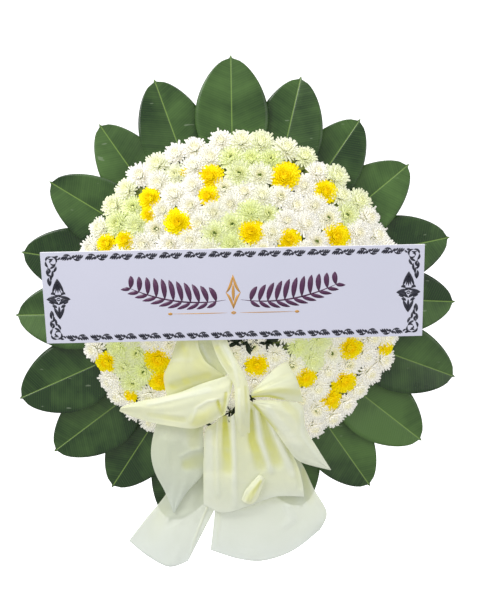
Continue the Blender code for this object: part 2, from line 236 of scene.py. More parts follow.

# %% [markdown]
# ## Leaf material: a waxy rubber-plant leaf
# A rubber-plant leaf has a thick wax skin, so the light lies on it in soft bright patches, and fine side
# veins break those patches into streaks. Those patches and streaks are painted sheen here: the colour shifts
# from deep green towards grey-green where reflected light would lie. The pale rib runs down the middle.
# The mesh carries its own numbers for the pattern: how far a point is from the rib in millimetres, which
# side vein it is on, and how much painted sheen greys each half of the leaf.


# %% Leaf materials, upper skin and underside
def leaf_material(name, deep, sheen_grey, rib_colour, wax):
    tree, surface = new_material(name)
    rib = add(tree, "ShaderNodeAttribute", attribute_name="rib_mm").outputs["Fac"]
    vein = add(tree, "ShaderNodeAttribute", attribute_name="vein").outputs["Fac"]
    painted_light = add(tree, "ShaderNodeAttribute", attribute_name="tint").outputs["Fac"]
    place = add(tree, "ShaderNodeTexCoord").outputs["Object"]
    # painted sheen: soft patches of reflected light, as a shift from deep green towards grey-green
    cloud = add(tree, "ShaderNodeTexNoise", {"Vector": place, "Scale": 11.0, "Detail": 3.0}).outputs[0]
    cloud = add(tree, "ShaderNodeMapRange", {0: cloud, 1: 0.35, 2: 0.65, 3: -0.34, 4: 0.34}).outputs[0]
    # painted sheen: streaks of reflected light that lie along the side veins
    lane = add(tree, "ShaderNodeCombineXYZ", {0: vein, 1: painted_light, 2: 0.0}).outputs[0]
    streak = add(tree, "ShaderNodeTexNoise", {"Vector": lane, "Scale": 0.55, "Detail": 3.0}).outputs[0]
    streak = add(tree, "ShaderNodeMapRange", {0: streak, 1: 0.35, 2: 0.7, 3: -0.10, 4: 0.12}).outputs[0]
    sheen_shift = add(tree, "ShaderNodeMath", {0: cloud, 1: streak}, operation="ADD").outputs[0]
    sheen_shift = add(tree, "ShaderNodeMath", {0: sheen_shift, 1: painted_light}, operation="ADD", use_clamp=True).outputs[0]
    blade = add(
        tree, "ShaderNodeMix", {"Factor": sheen_shift, "A": linear(deep), "B": linear(sheen_grey)}, data_type="RGBA"
    ).outputs[2]
    # a side vein every few millimetres, as a soft ridge
    wave = add(tree, "ShaderNodeMath", {0: vein, 1: 2 * pi}, operation="MULTIPLY").outputs[0]
    ridge = add(tree, "ShaderNodeMath", {0: wave}, operation="SINE").outputs[0]
    ridge = add(tree, "ShaderNodeMapRange", {0: ridge, 1: 0.5, 2: 1.0, 3: 0.0, 4: 1.0}).outputs[0]
    veined = add(tree, "ShaderNodeMath", {0: ridge, 1: 0.08}, operation="MULTIPLY").outputs[0]
    blade = add(
        tree, "ShaderNodeMix", {"Factor": veined, "A": blade, "B": linear(rib_colour)}, data_type="RGBA"
    ).outputs[2]
    # the pale rib, 2 mm wide with soft sides
    near = add(tree, "ShaderNodeMapRange", {0: rib, 1: 0.5, 2: 1.7, 3: 0.8, 4: 0.0}).outputs[0]
    colour = add(
        tree, "ShaderNodeMix", {"Factor": near, "A": blade, "B": linear(rib_colour)}, data_type="RGBA"
    ).outputs[2]
    # a few pale scratches and specks in the wax
    stretched = add(tree, "ShaderNodeMapping", {"Vector": place, "Scale": (30, 30, 110)}).outputs[0]
    specks = add(tree, "ShaderNodeTexNoise", {"Vector": stretched, "Scale": 1.0, "Detail": 1.0}).outputs[0]
    speck = add(tree, "ShaderNodeMapRange", {0: specks, 1: 0.755, 2: 0.78, 3: 0.0, 4: 0.4}).outputs[0]
    colour = add(
        tree, "ShaderNodeMix", {"Factor": speck, "A": colour, "B": linear("#8c9a80")}, data_type="RGBA"
    ).outputs[2]
    dull = add(tree, "ShaderNodeMapRange", {0: sheen_shift, 3: wax - 0.05, 4: wax + 0.08}).outputs[0]
    relief = add(
        tree, "ShaderNodeBump", {"Strength": 0.25, "Distance": 0.2 * MM, "Height": ridge}
    ).outputs[0]
    return surface(
        Base_Color=colour, Roughness=dull, Normal=relief, IOR=1.45, Coat_Weight=0.12, Coat_Roughness=0.3
    )


leaf_top = leaf_material("rubber_plant_leaf_waxy", "#12310a", "#496a2f", "#7f9e48", 0.32)
leaf_under = leaf_material("rubber_plant_leaf_underside", "#56703c", "#7b9460", "#a3b873", 0.6)

# %% [markdown]
# ## The leaves
# Each leaf is one blade: wide shoulders, a short drawn-out point, two halves that lift a little from the rib.
# It could be a subdivided card, but a grid bent by a formula comes close to the outline of the solid and can
# also carry the veins. Each blade's place is measured from its solid: the two ends give the rib, and the
# depths of the edges give how far the blade is rolled. Solidify then makes the wall and gives the underside
# its own skin.

# %% Leaf sizes
LEAF_THICK = 0.9 * MM
LEAF_STALK = 4 * MM
LEAF_POINT = 0.6 * MM
LEAF_SHOULDER = 0.75
LEAF_ROWS = 44
LEAF_COLUMNS = [-1, -0.88, -0.74, -0.58, -0.42, -0.26, -0.12, -0.045, -0.018]
LEAF_COLUMNS = [*LEAF_COLUMNS, 0, *[-c for c in reversed(LEAF_COLUMNS)]]
VEIN_SPACING = 5.0 * MM  # real side veins are nearer 3 mm, drawn wider so that they show
VEIN_SLANT = 0.42
# painted sheen: how far each half of each leaf is greyed by reflected light painted into its colour
LEAF_HALF_SHEEN = [  # left half and right half of each leaf, 0 deep green to 1 grey-green
    (0.62, 0.55),
    (0.55, 0.35),
    (0.55, 0.05),
    (0.60, 0.62),
    (0.10, 0.45),
    (0.10, 0.55),
    (0.55, 0.15),
    (0.90, 0.95),
    (0.80, 0.35),
    (0.75, 0.50),
    (0.35, 0.30),
    (0.30, 0.40),
    (0.30, 0.45),
    (0.05, 0.45),
    (0.05, 0.45),
    (0.60, 0.35),
    (0.30, 0.30),
    (0.40, 0.25),
    (0.85, 0.60),
    (0.12, 0.35),
]
DRIP_POINT = 0.022  # share of the length that the drawn-out point takes
TIP_BLUNTNESS = 0.19  # how much fuller the blade is near its tip than near its stalk


# %% Measure a leaf solid, then grow its blade
def leaf_frame(node):
    """Tip, rib direction, direction across, half width, roll and fold of a leaf solid."""
    points = np.array([v.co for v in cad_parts[node].data.vertices])
    flat = points[:, [0, 2]]
    centre = flat.mean(0)
    axis = np.linalg.svd(flat - centre)[2][0]
    if axis @ centre < 0:
        axis = -axis
    along = (flat - centre) @ axis
    tip = points[along > along.max() - 2 * MM].mean(0)
    foot = points[along < along.min() + 2 * MM].mean(0)
    rib = Vector(tip) - Vector(foot)
    length = rib.length
    rib.normalize()
    across = Vector((rib.z, 0, -rib.x))
    offsets = (points - tip) @ np.array(across)
    half = (offsets.max() - offsets.min()) / 2
    rise_right = tip[1] - points[offsets.argmax(), 1]
    rise_left = tip[1] - points[offsets.argmin(), 1]
    return Vector(tip), rib, across, length, half, (rise_right - rise_left) / 2, (rise_right + rise_left) / 2


def grow_leaf(number, node):
    tip, rib, across, length, half, roll, fold = leaf_frame(node)
    rng = np.random.default_rng(100 + number)
    bow = rng.uniform(-3, 5) * MM
    ruffle = rng.uniform(1.0, 2.2) * MM
    waves = rng.uniform(1.2, 2.2)
    phase = rng.uniform(0, 2 * pi, 2)
    twist = rng.uniform(-0.02, 0.02)
    bm = bmesh.new()
    layers = {name: bm.verts.layers.float.new(name) for name in ("rib_mm", "vein", "tint")}
    grid = []
    for i in range(LEAF_ROWS + 1):
        share = i / LEAF_ROWS
        body = min(share / (1 - DRIP_POINT), 1.0)
        swell = max(sin(pi * body), 0.0) ** (LEAF_SHOULDER - TIP_BLUNTNESS * body)
        ends = LEAF_STALK + (LEAF_POINT - LEAF_STALK) * share
        width = ends + (half - ends) * swell
        row = []
        for c in LEAF_COLUMNS:
            reach = c * width
            edge = abs(c) ** 2
            side = 0 if c < 0 else 1
            rise = roll * reach / half + fold * 1.5 * abs(reach) / half
            rise += bow * sin(pi * share) + twist * reach * share
            rise += ruffle * edge * sin(2 * pi * waves * share + phase[side]) * sin(pi * share)
            # the rib lies in a shallow channel
            rise += 0.6 * MM * min(abs(reach) / (1.6 * MM), 1.0) - 0.6 * MM
            place = tip - rib * length * (1 - share) + across * reach + Vector((0, -rise, 0))
            vert = bm.verts.new(place)
            vert[layers["rib_mm"]] = abs(reach) / MM * (1.0 if share < 0.97 else 1.6)
            vert[layers["vein"]] = (length * share - abs(reach) * VEIN_SLANT) / VEIN_SPACING
            # each half takes its own painted sheen, which changes across the rib within a few millimetres
            left, right = LEAF_HALF_SHEEN[number]
            blend = min(max(0.5 + reach / (4 * MM), 0.0), 1.0)
            vert[layers["tint"]] = left + (right - left) * blend
            row.append(vert)
        grid.append(row)
    for low, high in zip(grid, grid[1:]):
        for k in range(len(low) - 1):
            bm.faces.new((low[k], low[k + 1], high[k + 1], high[k]))
    bmesh.ops.recalc_face_normals(bm, faces=bm.faces)
    if bm.faces[0].normal.y > 0:
        bmesh.ops.reverse_faces(bm, faces=bm.faces)
    leaf = object_from(bm, f"rubber_leaf_{number + 1:02d}", leaf_top, leaf_under)
    wall = leaf.modifiers.new("wall", "SOLIDIFY")
    wall.thickness = LEAF_THICK
    wall.offset = 0.0
    wall.material_offset = 1
    return piece(leaf, "leaf", node)


leaf_nodes = sorted(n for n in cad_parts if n.startswith("leaf_"))
leaves = [grow_leaf(number, node) for number, node in enumerate(leaf_nodes)]
print("leaves:", len(leaves), "triangles each:", triangles(leaves[0]))

# %% [markdown]
# ## Petal materials
# A chrysanthemum petal is thin and matt, and light goes through it from one petal to the next until the whole
# head glows softly. Tracing that is slow, so a little of the petal's own colour is given back as light. The
# same shader serves every head: each point carries its place along its petal, how far out its petal is in the
# head, and the head's own tint.


# %% Petal and calyx materials
def petal_material(name, tip, base, heart, lime, glow):
    tree, surface = new_material(name)
    along = add(tree, "ShaderNodeAttribute", attribute_name="along").outputs["Fac"]
    bloom = add(tree, "ShaderNodeAttribute", attribute_name="bloom").outputs["Fac"]
    tint = add(tree, "ShaderNodeAttribute", attribute_name="tint").outputs["Fac"]
    ramp = add(tree, "ShaderNodeMapRange", {0: along, 1: 0.0, 2: 0.6, 3: 0.0, 4: 1.0}).outputs[0]
    young = add(tree, "ShaderNodeMapRange", {0: bloom, 1: 0.0, 2: 0.35, 3: 1.0, 4: 0.0}).outputs[0]
    plain = add(
        tree, "ShaderNodeMix", {"Factor": ramp, "A": linear(base), "B": linear(tip)}, data_type="RGBA"
    ).outputs[2]
    young = add(tree, "ShaderNodeMath", {0: young, 1: 0.65}, operation="MULTIPLY").outputs[0]
    plain = add(
        tree, "ShaderNodeMix", {"Factor": young, "A": plain, "B": linear(heart)}, data_type="RGBA"
    ).outputs[2]
    fresh = add(tree, "ShaderNodeMath", {0: tint, 1: 0.5}, operation="MULTIPLY").outputs[0]
    colour = add(
        tree, "ShaderNodeMix", {"Factor": fresh, "A": plain, "B": linear(lime)}, data_type="RGBA"
    ).outputs[2]
    place = add(tree, "ShaderNodeTexCoord").outputs["Object"]
    grain = add(tree, "ShaderNodeTexNoise", {"Vector": place, "Scale": 900.0, "Detail": 2.0}).outputs[0]
    relief = add(
        tree, "ShaderNodeBump", {"Strength": 0.2, "Distance": 0.2 * MM, "Height": grain}
    ).outputs[0]
    return surface(
        Base_Color=colour,
        Roughness=0.62,
        Normal=relief,
        IOR=1.4,
        Emission_Color=colour,
        Emission_Strength=glow,
        Specular_IOR_Level=0.3,
    )


white_petal = petal_material("white_chrysanthemum_petal", "#faf8f0", "#f9f3da", "#f7f2c8", "#daea58", 0.25)
yellow_petal = petal_material("yellow_chrysanthemum_petal", "#fff000", "#ffdc00", "#ffd400", "#ffe400", 0.19)

calyx_tree, calyx_surface = new_material("chrysanthemum_calyx_green")
calyx_place = add(calyx_tree, "ShaderNodeTexCoord").outputs["Object"]
calyx_noise = add(calyx_tree, "ShaderNodeTexNoise", {"Vector": calyx_place, "Scale": 120.0}).outputs[0]
calyx_green = add(
    calyx_tree,
    "ShaderNodeMix",
    {"Factor": calyx_noise, "A": linear("#4d6a2a"), "B": linear("#86a04a")},
    data_type="RGBA",
).outputs[2]
calyx = calyx_surface(Base_Color=calyx_green, Roughness=0.6, IOR=1.4)

# %% [markdown]
# ## One petal and one calyx
# A petal is a narrow tongue, hollow along its upper side, with a round tip. Thousands are needed for one bed,
# so it has only ten faces: a four-sided tube with a raised left and right edge. The calyx is the green cup
# under the petals with the start of the stem.

# %% Build the petal and the calyx
PETAL_STATIONS = [  # share of the length, half width, lift of the middle line
    (0.0, 0.32, 0.0),
    (0.62, 1.0, 0.07),
    (1.0, 0.58, 0.20),
]
PETAL_CUP = 0.55  # lift of the edges, as a share of the half width
PETAL_WALL = 0.10


def lofted_rings(rings, name):
    """A closed tube through rings of points, with an 'along' number on each ring."""
    bm = bmesh.new()
    along = bm.verts.layers.float.new("along")
    green = bm.verts.layers.float.new("green")
    made = []
    for share, is_green, points in rings:
        ring = [bm.verts.new(p) for p in points]
        for vert in ring:
            vert[along] = share
            vert[green] = is_green
        made.append(ring)
    for low, high in zip(made, made[1:]):
        for k in range(len(low)):
            n = (k + 1) % len(low)
            bm.faces.new((low[k], low[n], high[n], high[k]))
    bm.faces.new(list(reversed(made[0])))
    bm.faces.new(made[-1])
    bmesh.ops.recalc_face_normals(bm, faces=bm.faces)
    return object_from(bm, name)


def petal_ring(share, half, lift):
    """Left edge, upper middle, right edge and lower middle of a petal of unit length and half width."""
    edge = lift + PETAL_CUP * half * 0.25
    under = lift - PETAL_WALL * 0.5
    return [(share, half, edge), (share, 0, lift), (share, -half, edge), (share, 0, under)]


petal = lofted_rings([(s, 0.0, petal_ring(s, w, up)) for s, w, up in PETAL_STATIONS], "petal")

# height and radius in mm
CALYX_PROFILE = [(-24, 1.3), (-5, 1.3), (-3.5, 4.5), (0.5, 8.0), (3.5, 6.0), (5.0, 1.0)]
CALYX_SIDES = 7
calyx_rings = []
for h, r in CALYX_PROFILE:
    angles = [2 * pi * k / CALYX_SIDES for k in range(CALYX_SIDES)]
    calyx_rings.append((0.0, 1.0, [(r * MM * cos(a), r * MM * sin(a), h * MM) for a in angles]))
calyx_cup = lofted_rings(calyx_rings, "calyx")
print("triangles in a petal:", triangles(petal))

# %% [markdown]
# ## A flower head by Geometry Nodes
# Petals grow one after another, each turned 137.5 degrees from the last, which is why no two lie in line. The
# tree makes a row of points, gives each its turn and its distance from the middle, stands the inner ones up
# and lays the outer ones flat, and puts a petal on each. Its inputs are the sizes that tell one kind of head
# from another.

# %% The head tree
GOLDEN_TURN = radians(137.508)


def group_with(name, sockets):
    """A Geometry Nodes group with the named inputs, its input node and its output node."""
    tree = bpy.data.node_groups.new(name, "GeometryNodeTree")
    tree.interface.new_socket("Geometry", in_out="OUTPUT", socket_type="NodeSocketGeometry")
    tree.interface.new_socket("Geometry", in_out="INPUT", socket_type="NodeSocketGeometry")
    for label, kind in sockets:
        tree.interface.new_socket(label, in_out="INPUT", socket_type="NodeSocket" + kind)
    given = add(tree, "NodeGroupInput").outputs
    return tree, given


HEAD_INPUTS = [
    ("Petal", "Object"),
    ("Calyx", "Object"),
    ("Petals", "Int"),
    ("Heart Radius", "Float"),
    ("Base Radius", "Float"),
    ("Lift", "Float"),
    ("Inner Angle", "Float"),
    ("Outer Angle", "Float"),
    ("Inner Length", "Float"),
    ("Outer Length", "Float"),
    ("Half Width", "Float"),
    ("Untidiness", "Float"),
    ("Seed", "Int"),
    ("Petal Finish", "Material"),
    ("Calyx Finish", "Material"),
]

head_tree, given = group_with("flower_head", HEAD_INPUTS)
index = add(head_tree, "GeometryNodeInputIndex").outputs[0]
count = add(head_tree, "GeometryNodePoints", {"Count": given["Petals"]}).outputs[0]
share = add(head_tree, "ShaderNodeMath", {0: index, 1: given["Petals"]}, operation="DIVIDE").outputs[0]
turn = add(head_tree, "ShaderNodeMath", {0: index, 1: GOLDEN_TURN}, operation="MULTIPLY").outputs[0]
spread = add(head_tree, "ShaderNodeMath", {0: share}, operation="SQRT").outputs[0]
radius = add(
    head_tree, "ShaderNodeMapRange", {0: spread, 3: given["Heart Radius"], 4: given["Base Radius"]}
).outputs[0]
east = add(head_tree, "ShaderNodeMath", {0: turn}, operation="COSINE").outputs[0]
north = add(head_tree, "ShaderNodeMath", {0: turn}, operation="SINE").outputs[0]
east = add(head_tree, "ShaderNodeMath", {0: east, 1: radius}, operation="MULTIPLY").outputs[0]
north = add(head_tree, "ShaderNodeMath", {0: north, 1: radius}, operation="MULTIPLY").outputs[0]
height = add(head_tree, "ShaderNodeMapRange", {0: share, 3: given["Lift"], 4: 0.0}).outputs[0]
seat = add(head_tree, "ShaderNodeCombineXYZ", {0: east, 1: north, 2: height}).outputs[0]
points = add(head_tree, "GeometryNodeSetPosition", {"Geometry": count, "Position": seat}).outputs[0]
points = add(
    head_tree,
    "GeometryNodeStoreNamedAttribute",
    {"Geometry": points, "Name": "bloom", "Value": share},
    data_type="FLOAT",
    domain="POINT",
).outputs[0]
loose = add(head_tree, "ShaderNodeMath", {0: given["Untidiness"], 1: -1.0}, operation="MULTIPLY").outputs[0]
wobble = add(
    head_tree,
    "FunctionNodeRandomValue",
    {"Min": loose, "Max": given["Untidiness"], "Seed": given["Seed"]},
    data_type="FLOAT",
).outputs[1]
steep = add(
    head_tree, "ShaderNodeMapRange", {0: share, 3: given["Inner Angle"], 4: given["Outer Angle"]}
).outputs[0]
steep = add(head_tree, "ShaderNodeMath", {0: steep, 1: wobble}, operation="ADD").outputs[0]
steep = add(head_tree, "ShaderNodeMath", {0: steep, 1: -1.0}, operation="MULTIPLY").outputs[0]
roll = add(head_tree, "ShaderNodeMath", {0: wobble, 1: 2.5}, operation="MULTIPLY").outputs[0]
angles = add(head_tree, "ShaderNodeCombineXYZ", {0: roll, 1: steep, 2: turn}).outputs[0]
angles = add(head_tree, "FunctionNodeEulerToRotation", {0: angles}).outputs[0]
length = add(
    head_tree, "ShaderNodeMapRange", {0: share, 3: given["Inner Length"], 4: given["Outer Length"]}
).outputs[0]
longer = add(
    head_tree,
    "FunctionNodeRandomValue",
    {"Min": 0.86, "Max": 1.1, "Seed": given["Seed"]},
    data_type="FLOAT",
).outputs[1]
length = add(head_tree, "ShaderNodeMath", {0: length, 1: longer}, operation="MULTIPLY").outputs[0]
size = add(head_tree, "ShaderNodeCombineXYZ", {0: length, 1: given["Half Width"], 2: length}).outputs[0]
one = add(head_tree, "GeometryNodeObjectInfo", {"Object": given["Petal"]}).outputs["Geometry"]
petals = add(
    head_tree,
    "GeometryNodeInstanceOnPoints",
    {"Points": points, "Instance": one, "Rotation": angles, "Scale": size},
).outputs[0]
cup = add(head_tree, "GeometryNodeObjectInfo", {"Object": given["Calyx"]}).outputs["Geometry"]
both = add(head_tree, "GeometryNodeJoinGeometry")
head_tree.links.new(petals, both.inputs[0])
head_tree.links.new(cup, both.inputs[0])
whole = add(head_tree, "GeometryNodeRealizeInstances", {"Geometry": both.outputs[0]}).outputs[0]
is_green = add(
    head_tree, "GeometryNodeInputNamedAttribute", {"Name": "green"}, data_type="FLOAT"
).outputs["Attribute"]
whole = add(
    head_tree, "GeometryNodeSetMaterial", {"Geometry": whole, "Material": given["Petal Finish"]}
).outputs[0]
whole = add(
    head_tree,
    "GeometryNodeSetMaterial",
    {"Geometry": whole, "Selection": is_green, "Material": given["Calyx Finish"]},
).outputs[0]
add(head_tree, "NodeGroupOutput", {0: whole})


# %% Bake a tree into a plain mesh
def bake(name, tree, inputs, start=None):
    """Runs a Geometry Nodes tree on a start mesh, with inputs given by name, and returns the plain object."""
    holder = bpy.data.objects.new(name, start or bpy.data.meshes.new(name))
    bpy.context.scene.collection.objects.link(holder)
    modifier = holder.modifiers.new("nodes", "NODES")
    modifier.node_group = tree
    for item in tree.interface.items_tree:
        if item.in_out == "INPUT" and item.name in inputs:
            modifier[item.identifier] = inputs[item.name]
    evaluated = holder.evaluated_get(bpy.context.evaluated_depsgraph_get())
    mesh = bpy.data.meshes.new_from_object(evaluated)
    holder.modifiers.clear()
    holder.data = mesh
    mesh.name = name
    mesh.shade_smooth()
    return holder


# %% [markdown]
# ## Kinds of head
# The white heads come in four kinds: a full button with its middle closed, a looser one with a green heart, a
# flatter open one, and the shaggy one that stands at the rim. The yellow kind is a tight dome with broad,
# round petals.

# %% Head kinds
KIND_SIZES = {
    # petals, heart, base, lift, inner angle, outer angle, inner length, outer length, half width, untidy
    "white_a_full": (150, 0.5, 10.5, 8.0, 84, 8, 9.5, 19.0, 2.7, 0.18),
    "white_b_green_heart": (128, 2.4, 10.5, 7.0, 72, 6, 9.0, 19.0, 2.7, 0.2),
    "white_c_open": (126, 1.0, 10.0, 6.5, 78, 2, 9.0, 20.0, 2.9, 0.2),
    "white_d_shaggy": (132, 0.8, 10.5, 7.0, 80, -12, 9.5, 20.5, 2.8, 0.2),
    "yellow_full": (120, 0.5, 9.5, 8.0, 82, 2, 8.0, 15.0, 3.6, 0.1),
}


def head_kind(name, seed):
    petals, heart, base, lift, inner, outer, short, long, half, untidy = KIND_SIZES[name]
    return bake(
        name,
        head_tree,
        {
            "Petal": petal,
            "Calyx": calyx_cup,
            "Petals": petals,
            "Heart Radius": heart * MM,
            "Base Radius": base * MM,
            "Lift": lift * MM,
            "Inner Angle": radians(inner),
            "Outer Angle": radians(outer),
            "Inner Length": short * MM,
            "Outer Length": long * MM,
            "Half Width": half * MM,
            "Untidiness": untidy,
            "Seed": seed,
            "Petal Finish": yellow_petal if name.startswith("yellow") else white_petal,
            "Calyx Finish": calyx,
        },
    )


kinds = {name: head_kind(name, seed) for seed, name in enumerate(KIND_SIZES, start=3)}
print({name: triangles(obj) for name, obj in kinds.items()})

# %% [markdown]
# ## Where the heads stand
# A florist fills the dome from the rim inwards until no foam shows, setting the yellow heads first. The
# script does the same: yellow heads stand where their solids are, and the white ones start on a spiral and
# push each other apart for a set number of rounds, which leaves them nearly evenly spaced. They stand a
# little closer than the width of a head, because packed petals overlap.

# %% Dome shape and head places
BED_NODES = ("white_flowers_upper", "white_flowers_lower")
DOME_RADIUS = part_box(BED_NODES[0])[1].x
DOME_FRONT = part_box(BED_NODES[0])[0].y
DOME_EDGE = -0.055
HEAD_HEIGHT = 14 * MM
WHITE_COUNT = 212
PUSH_ROUNDS = 120
RIM_MARGIN = 0.008  # no white head stands nearer to the rim than this


def dome(x, z):
    """Depth of the dome's surface."""
    return DOME_EDGE + (DOME_FRONT - DOME_EDGE) * (1 - (x * x + z * z) / DOME_RADIUS**2)


def dome_lean(x, z):
    """The direction that the dome's surface faces."""
    slope = 2 * (DOME_EDGE - DOME_FRONT) / DOME_RADIUS**2
    return Vector((x * slope, -1.0, z * slope)).normalized()


yellow_nodes = sorted(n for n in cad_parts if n.startswith("yellow_head_"))
yellow_spots = []
for node in yellow_nodes:
    low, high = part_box(node)
    yellow_spots.append(((low.x + high.x) / 2, (low.z + high.z) / 2, (high.x - low.x) / 2))

OPEN_GAPS = [  # x, z and reach of the places with no head
    (0.006, -0.080, 0.024),
    (0.064, -0.082, 0.022),
    (-0.108, 0.256, 0.012),
    (-0.012, -0.228, 0.021),
    (-0.070, -0.262, 0.017),
    (0.026, -0.198, 0.013),
]
rng = np.random.default_rng(7)
order = np.arange(WHITE_COUNT) + 0.5
limit = DOME_RADIUS - RIM_MARGIN
reach = limit * np.sqrt(order / WHITE_COUNT)
spots = np.stack([reach * np.cos(order * GOLDEN_TURN), reach * np.sin(order * GOLDEN_TURN)], 1)
spots += rng.normal(0, 4 * MM, spots.shape)
fixed = np.array([(x, z) for x, z, _ in yellow_spots])
fixed_room = np.array([r + 0.020 for _, _, r in yellow_spots])
WHITE_ROOM = 0.0425
for _ in range(PUSH_ROUNDS):
    gap = spots[:, None] - spots[None]
    far = np.linalg.norm(gap, axis=2) + np.eye(WHITE_COUNT)
    push = np.clip(WHITE_ROOM - far, 0, None) * (1 - np.eye(WHITE_COUNT))
    move = (gap / far[..., None] * push[..., None]).sum(1) * 0.3
    gap = spots[:, None] - fixed[None]
    far = np.linalg.norm(gap, axis=2) + 1e-6
    push = np.clip(fixed_room[None] - far, 0, None)
    move += (gap / far[..., None] * push[..., None]).sum(1) * 0.5
    spots += move
    out = np.linalg.norm(spots, axis=1)
    spots *= np.where(out > limit, limit / out, 1.0)[:, None]
gap = np.linalg.norm(spots[:, None] - spots[None], axis=2) + np.eye(WHITE_COUNT)
usual_gap = float(np.median(gap.min(1)))
print("places for white heads:", len(spots), "usual spacing in mm:", round(usual_gap / MM, 1))

# %% [markdown]
# ## Heads on the dome by Geometry Nodes
# The second tree takes a mesh of bare points. Each point says which kind of head stands there, how it is
# turned, how big it is and how green it is. The tree picks the head from the collection of kinds, turns it
# and copies the tint onto its petals.

# %% The bed tree
bed_tree, given = group_with("flower_bed", [("Kinds", "Collection")])
kind_list = add(
    bed_tree, "GeometryNodeCollectionInfo", {"Collection": given["Kinds"], "Separate Children": True}
).outputs[0]
wanted = add(bed_tree, "GeometryNodeInputNamedAttribute", {"Name": "kind"}, data_type="INT").outputs[0]
facing = add(
    bed_tree, "GeometryNodeInputNamedAttribute", {"Name": "facing"}, data_type="FLOAT_VECTOR"
).outputs[0]
facing = add(bed_tree, "FunctionNodeEulerToRotation", {0: facing}).outputs[0]
scale = add(bed_tree, "GeometryNodeInputNamedAttribute", {"Name": "size"}, data_type="FLOAT").outputs[0]
heads = add(
    bed_tree,
    "GeometryNodeInstanceOnPoints",
    {
        "Points": given["Geometry"],
        "Instance": kind_list,
        "Pick Instance": True,
        "Instance Index": wanted,
        "Rotation": facing,
        "Scale": scale,
    },
).outputs[0]
heads = add(bed_tree, "GeometryNodeRealizeInstances", {"Geometry": heads}).outputs[0]
is_green = add(bed_tree, "GeometryNodeInputNamedAttribute", {"Name": "green"}, data_type="FLOAT").outputs[0]
finish = add(
    bed_tree,
    "GeometryNodeSetMaterial",
    {"Geometry": heads, "Selection": is_green, "Material": calyx},
)
add(bed_tree, "NodeGroupOutput", {0: finish.outputs[0]})


def collection_of(name, objects):
    made = bpy.data.collections.new(name)
    for obj in objects:
        made.objects.link(obj)
    return made


def points_mesh(name, rows):
    """Bare points with kind, facing, size and tint. A row is (place, kind, facing, size, tint)."""
    mesh = bpy.data.meshes.new(name)
    mesh.from_pydata([row[0] for row in rows], [], [])
    for label, kind, column in (("kind", "INT", 1), ("size", "FLOAT", 3), ("tint", "FLOAT", 4)):
        mesh.attributes.new(label, kind, "POINT").data.foreach_set("value", [row[column] for row in rows])
    facing_of = mesh.attributes.new("facing", "FLOAT_VECTOR", "POINT")
    facing_of.data.foreach_set("vector", np.array([row[2] for row in rows], np.float32).ravel())
    return mesh


def set_head(x, z, height, kind, size, tint, extra_lean, spin):
    """One row for points_mesh: a head whose crown just reaches the dome's surface."""
    lean = (dome_lean(x, z) + Vector(extra_lean)).normalized()
    surface = Vector((x, dome(x, z), z))
    turned = lean.to_track_quat("Z", "Y").to_matrix() @ Matrix.Rotation(spin, 3, "Z")
    return (surface - lean * height * size, kind, tuple(turned.to_euler()), size, tint)


# %% White heads, in six parts of the bed
LIME_CLUMPS = [  # x, z and reach of the patches where greener heads stand
    (-0.236, 0.176, 0.05),
    (0.054, 0.292, 0.035),
    (0.010, 0.282, 0.035),
    (0.124, 0.286, 0.03),
    (0.214, 0.262, 0.03),
    (0.234, 0.188, 0.03),
    (0.034, 0.168, 0.03),
    (-0.016, 0.122, 0.04),
    (-0.206, -0.148, 0.045),
    (-0.230, -0.100, 0.03),
    (0.144, -0.104, 0.035),
    (-0.150, 0.262, 0.02),
]
LIME_SPREAD = 1.5  # the green fades to nothing at this many times the reach
RIM_START = 0.292  # beyond this the heads lean out over the leaves


def white_row(x, z):
    out = sqrt(x * x + z * z)
    lime = 0.0
    for clump_x, clump_z, reach in LIME_CLUMPS:
        away = (x - clump_x) ** 2 + (z - clump_z) ** 2
        lime = max(lime, 1 - away / (LIME_SPREAD * reach) ** 2)
    tint = min(1.0, lime * 1.1 + rng.uniform(0, 0.12))
    kind = int(rng.choice([0, 0, 1, 2]))
    if lime > 0.35:
        kind = int(rng.choice([1, 1, 0]))
    lean = [rng.normal(0, 0.10), 0.0, rng.normal(0, 0.10)]
    size = rng.uniform(1.0, 1.14)
    if out > RIM_START:
        kind = int(rng.choice([0, 2, 3, 3]))
        push = 0.26 * (out - RIM_START) / (DOME_RADIUS - RIM_START) + rng.uniform(0, 0.14)
        lean = [lean[0] + x / out * push, 0.0, lean[2] + z / out * push]
        size = rng.uniform(0.96, 1.08)
        tint *= 0.6
    height = HEAD_HEIGHT + rng.uniform(-3, 3) * MM
    return set_head(x, z, height, kind, size, tint, lean, rng.uniform(0, 2 * pi))


white_kinds = collection_of("white_kinds", [kinds[n] for n in KIND_SIZES if n.startswith("white")])
RIM_FILLERS = [  # x and z of heads tucked in last
    (-0.264, -0.186),
    (-0.250, -0.208),
    (0.313, -0.084),
    (0.305, -0.132),
]


def in_open_gap(x, z):
    return any((x - gap_x) ** 2 + (z - gap_z) ** 2 <= reach * reach for gap_x, gap_z, reach in OPEN_GAPS)


white_rows = [white_row(x, z) for x, z in spots if not in_open_gap(x, z)]
white_rows += [white_row(x, z) for x, z in RIM_FILLERS]
print("white heads made:", len(white_rows))
SIDES = ("left", "middle", "right")
SIDE_EDGE = 0.10
parts_of_bed = {}
for row in white_rows:
    x, _, z = row[0]
    side = SIDES[0 if x < -SIDE_EDGE else 1 if x < SIDE_EDGE else 2]
    parts_of_bed.setdefault(("upper" if z > 0 else "lower", side), []).append(row)
for (level, side), rows in sorted(parts_of_bed.items()):
    name = f"white_mums_{level}_{side}"
    bed = bake(name, bed_tree, {"Kinds": white_kinds}, points_mesh(name, rows))
    nodes = [f"white_flowers_{level}"] if side == "middle" else []
    piece(bed, "white_petals", *nodes)
    print(name, "heads:", len(rows), "triangles:", triangles(bed))

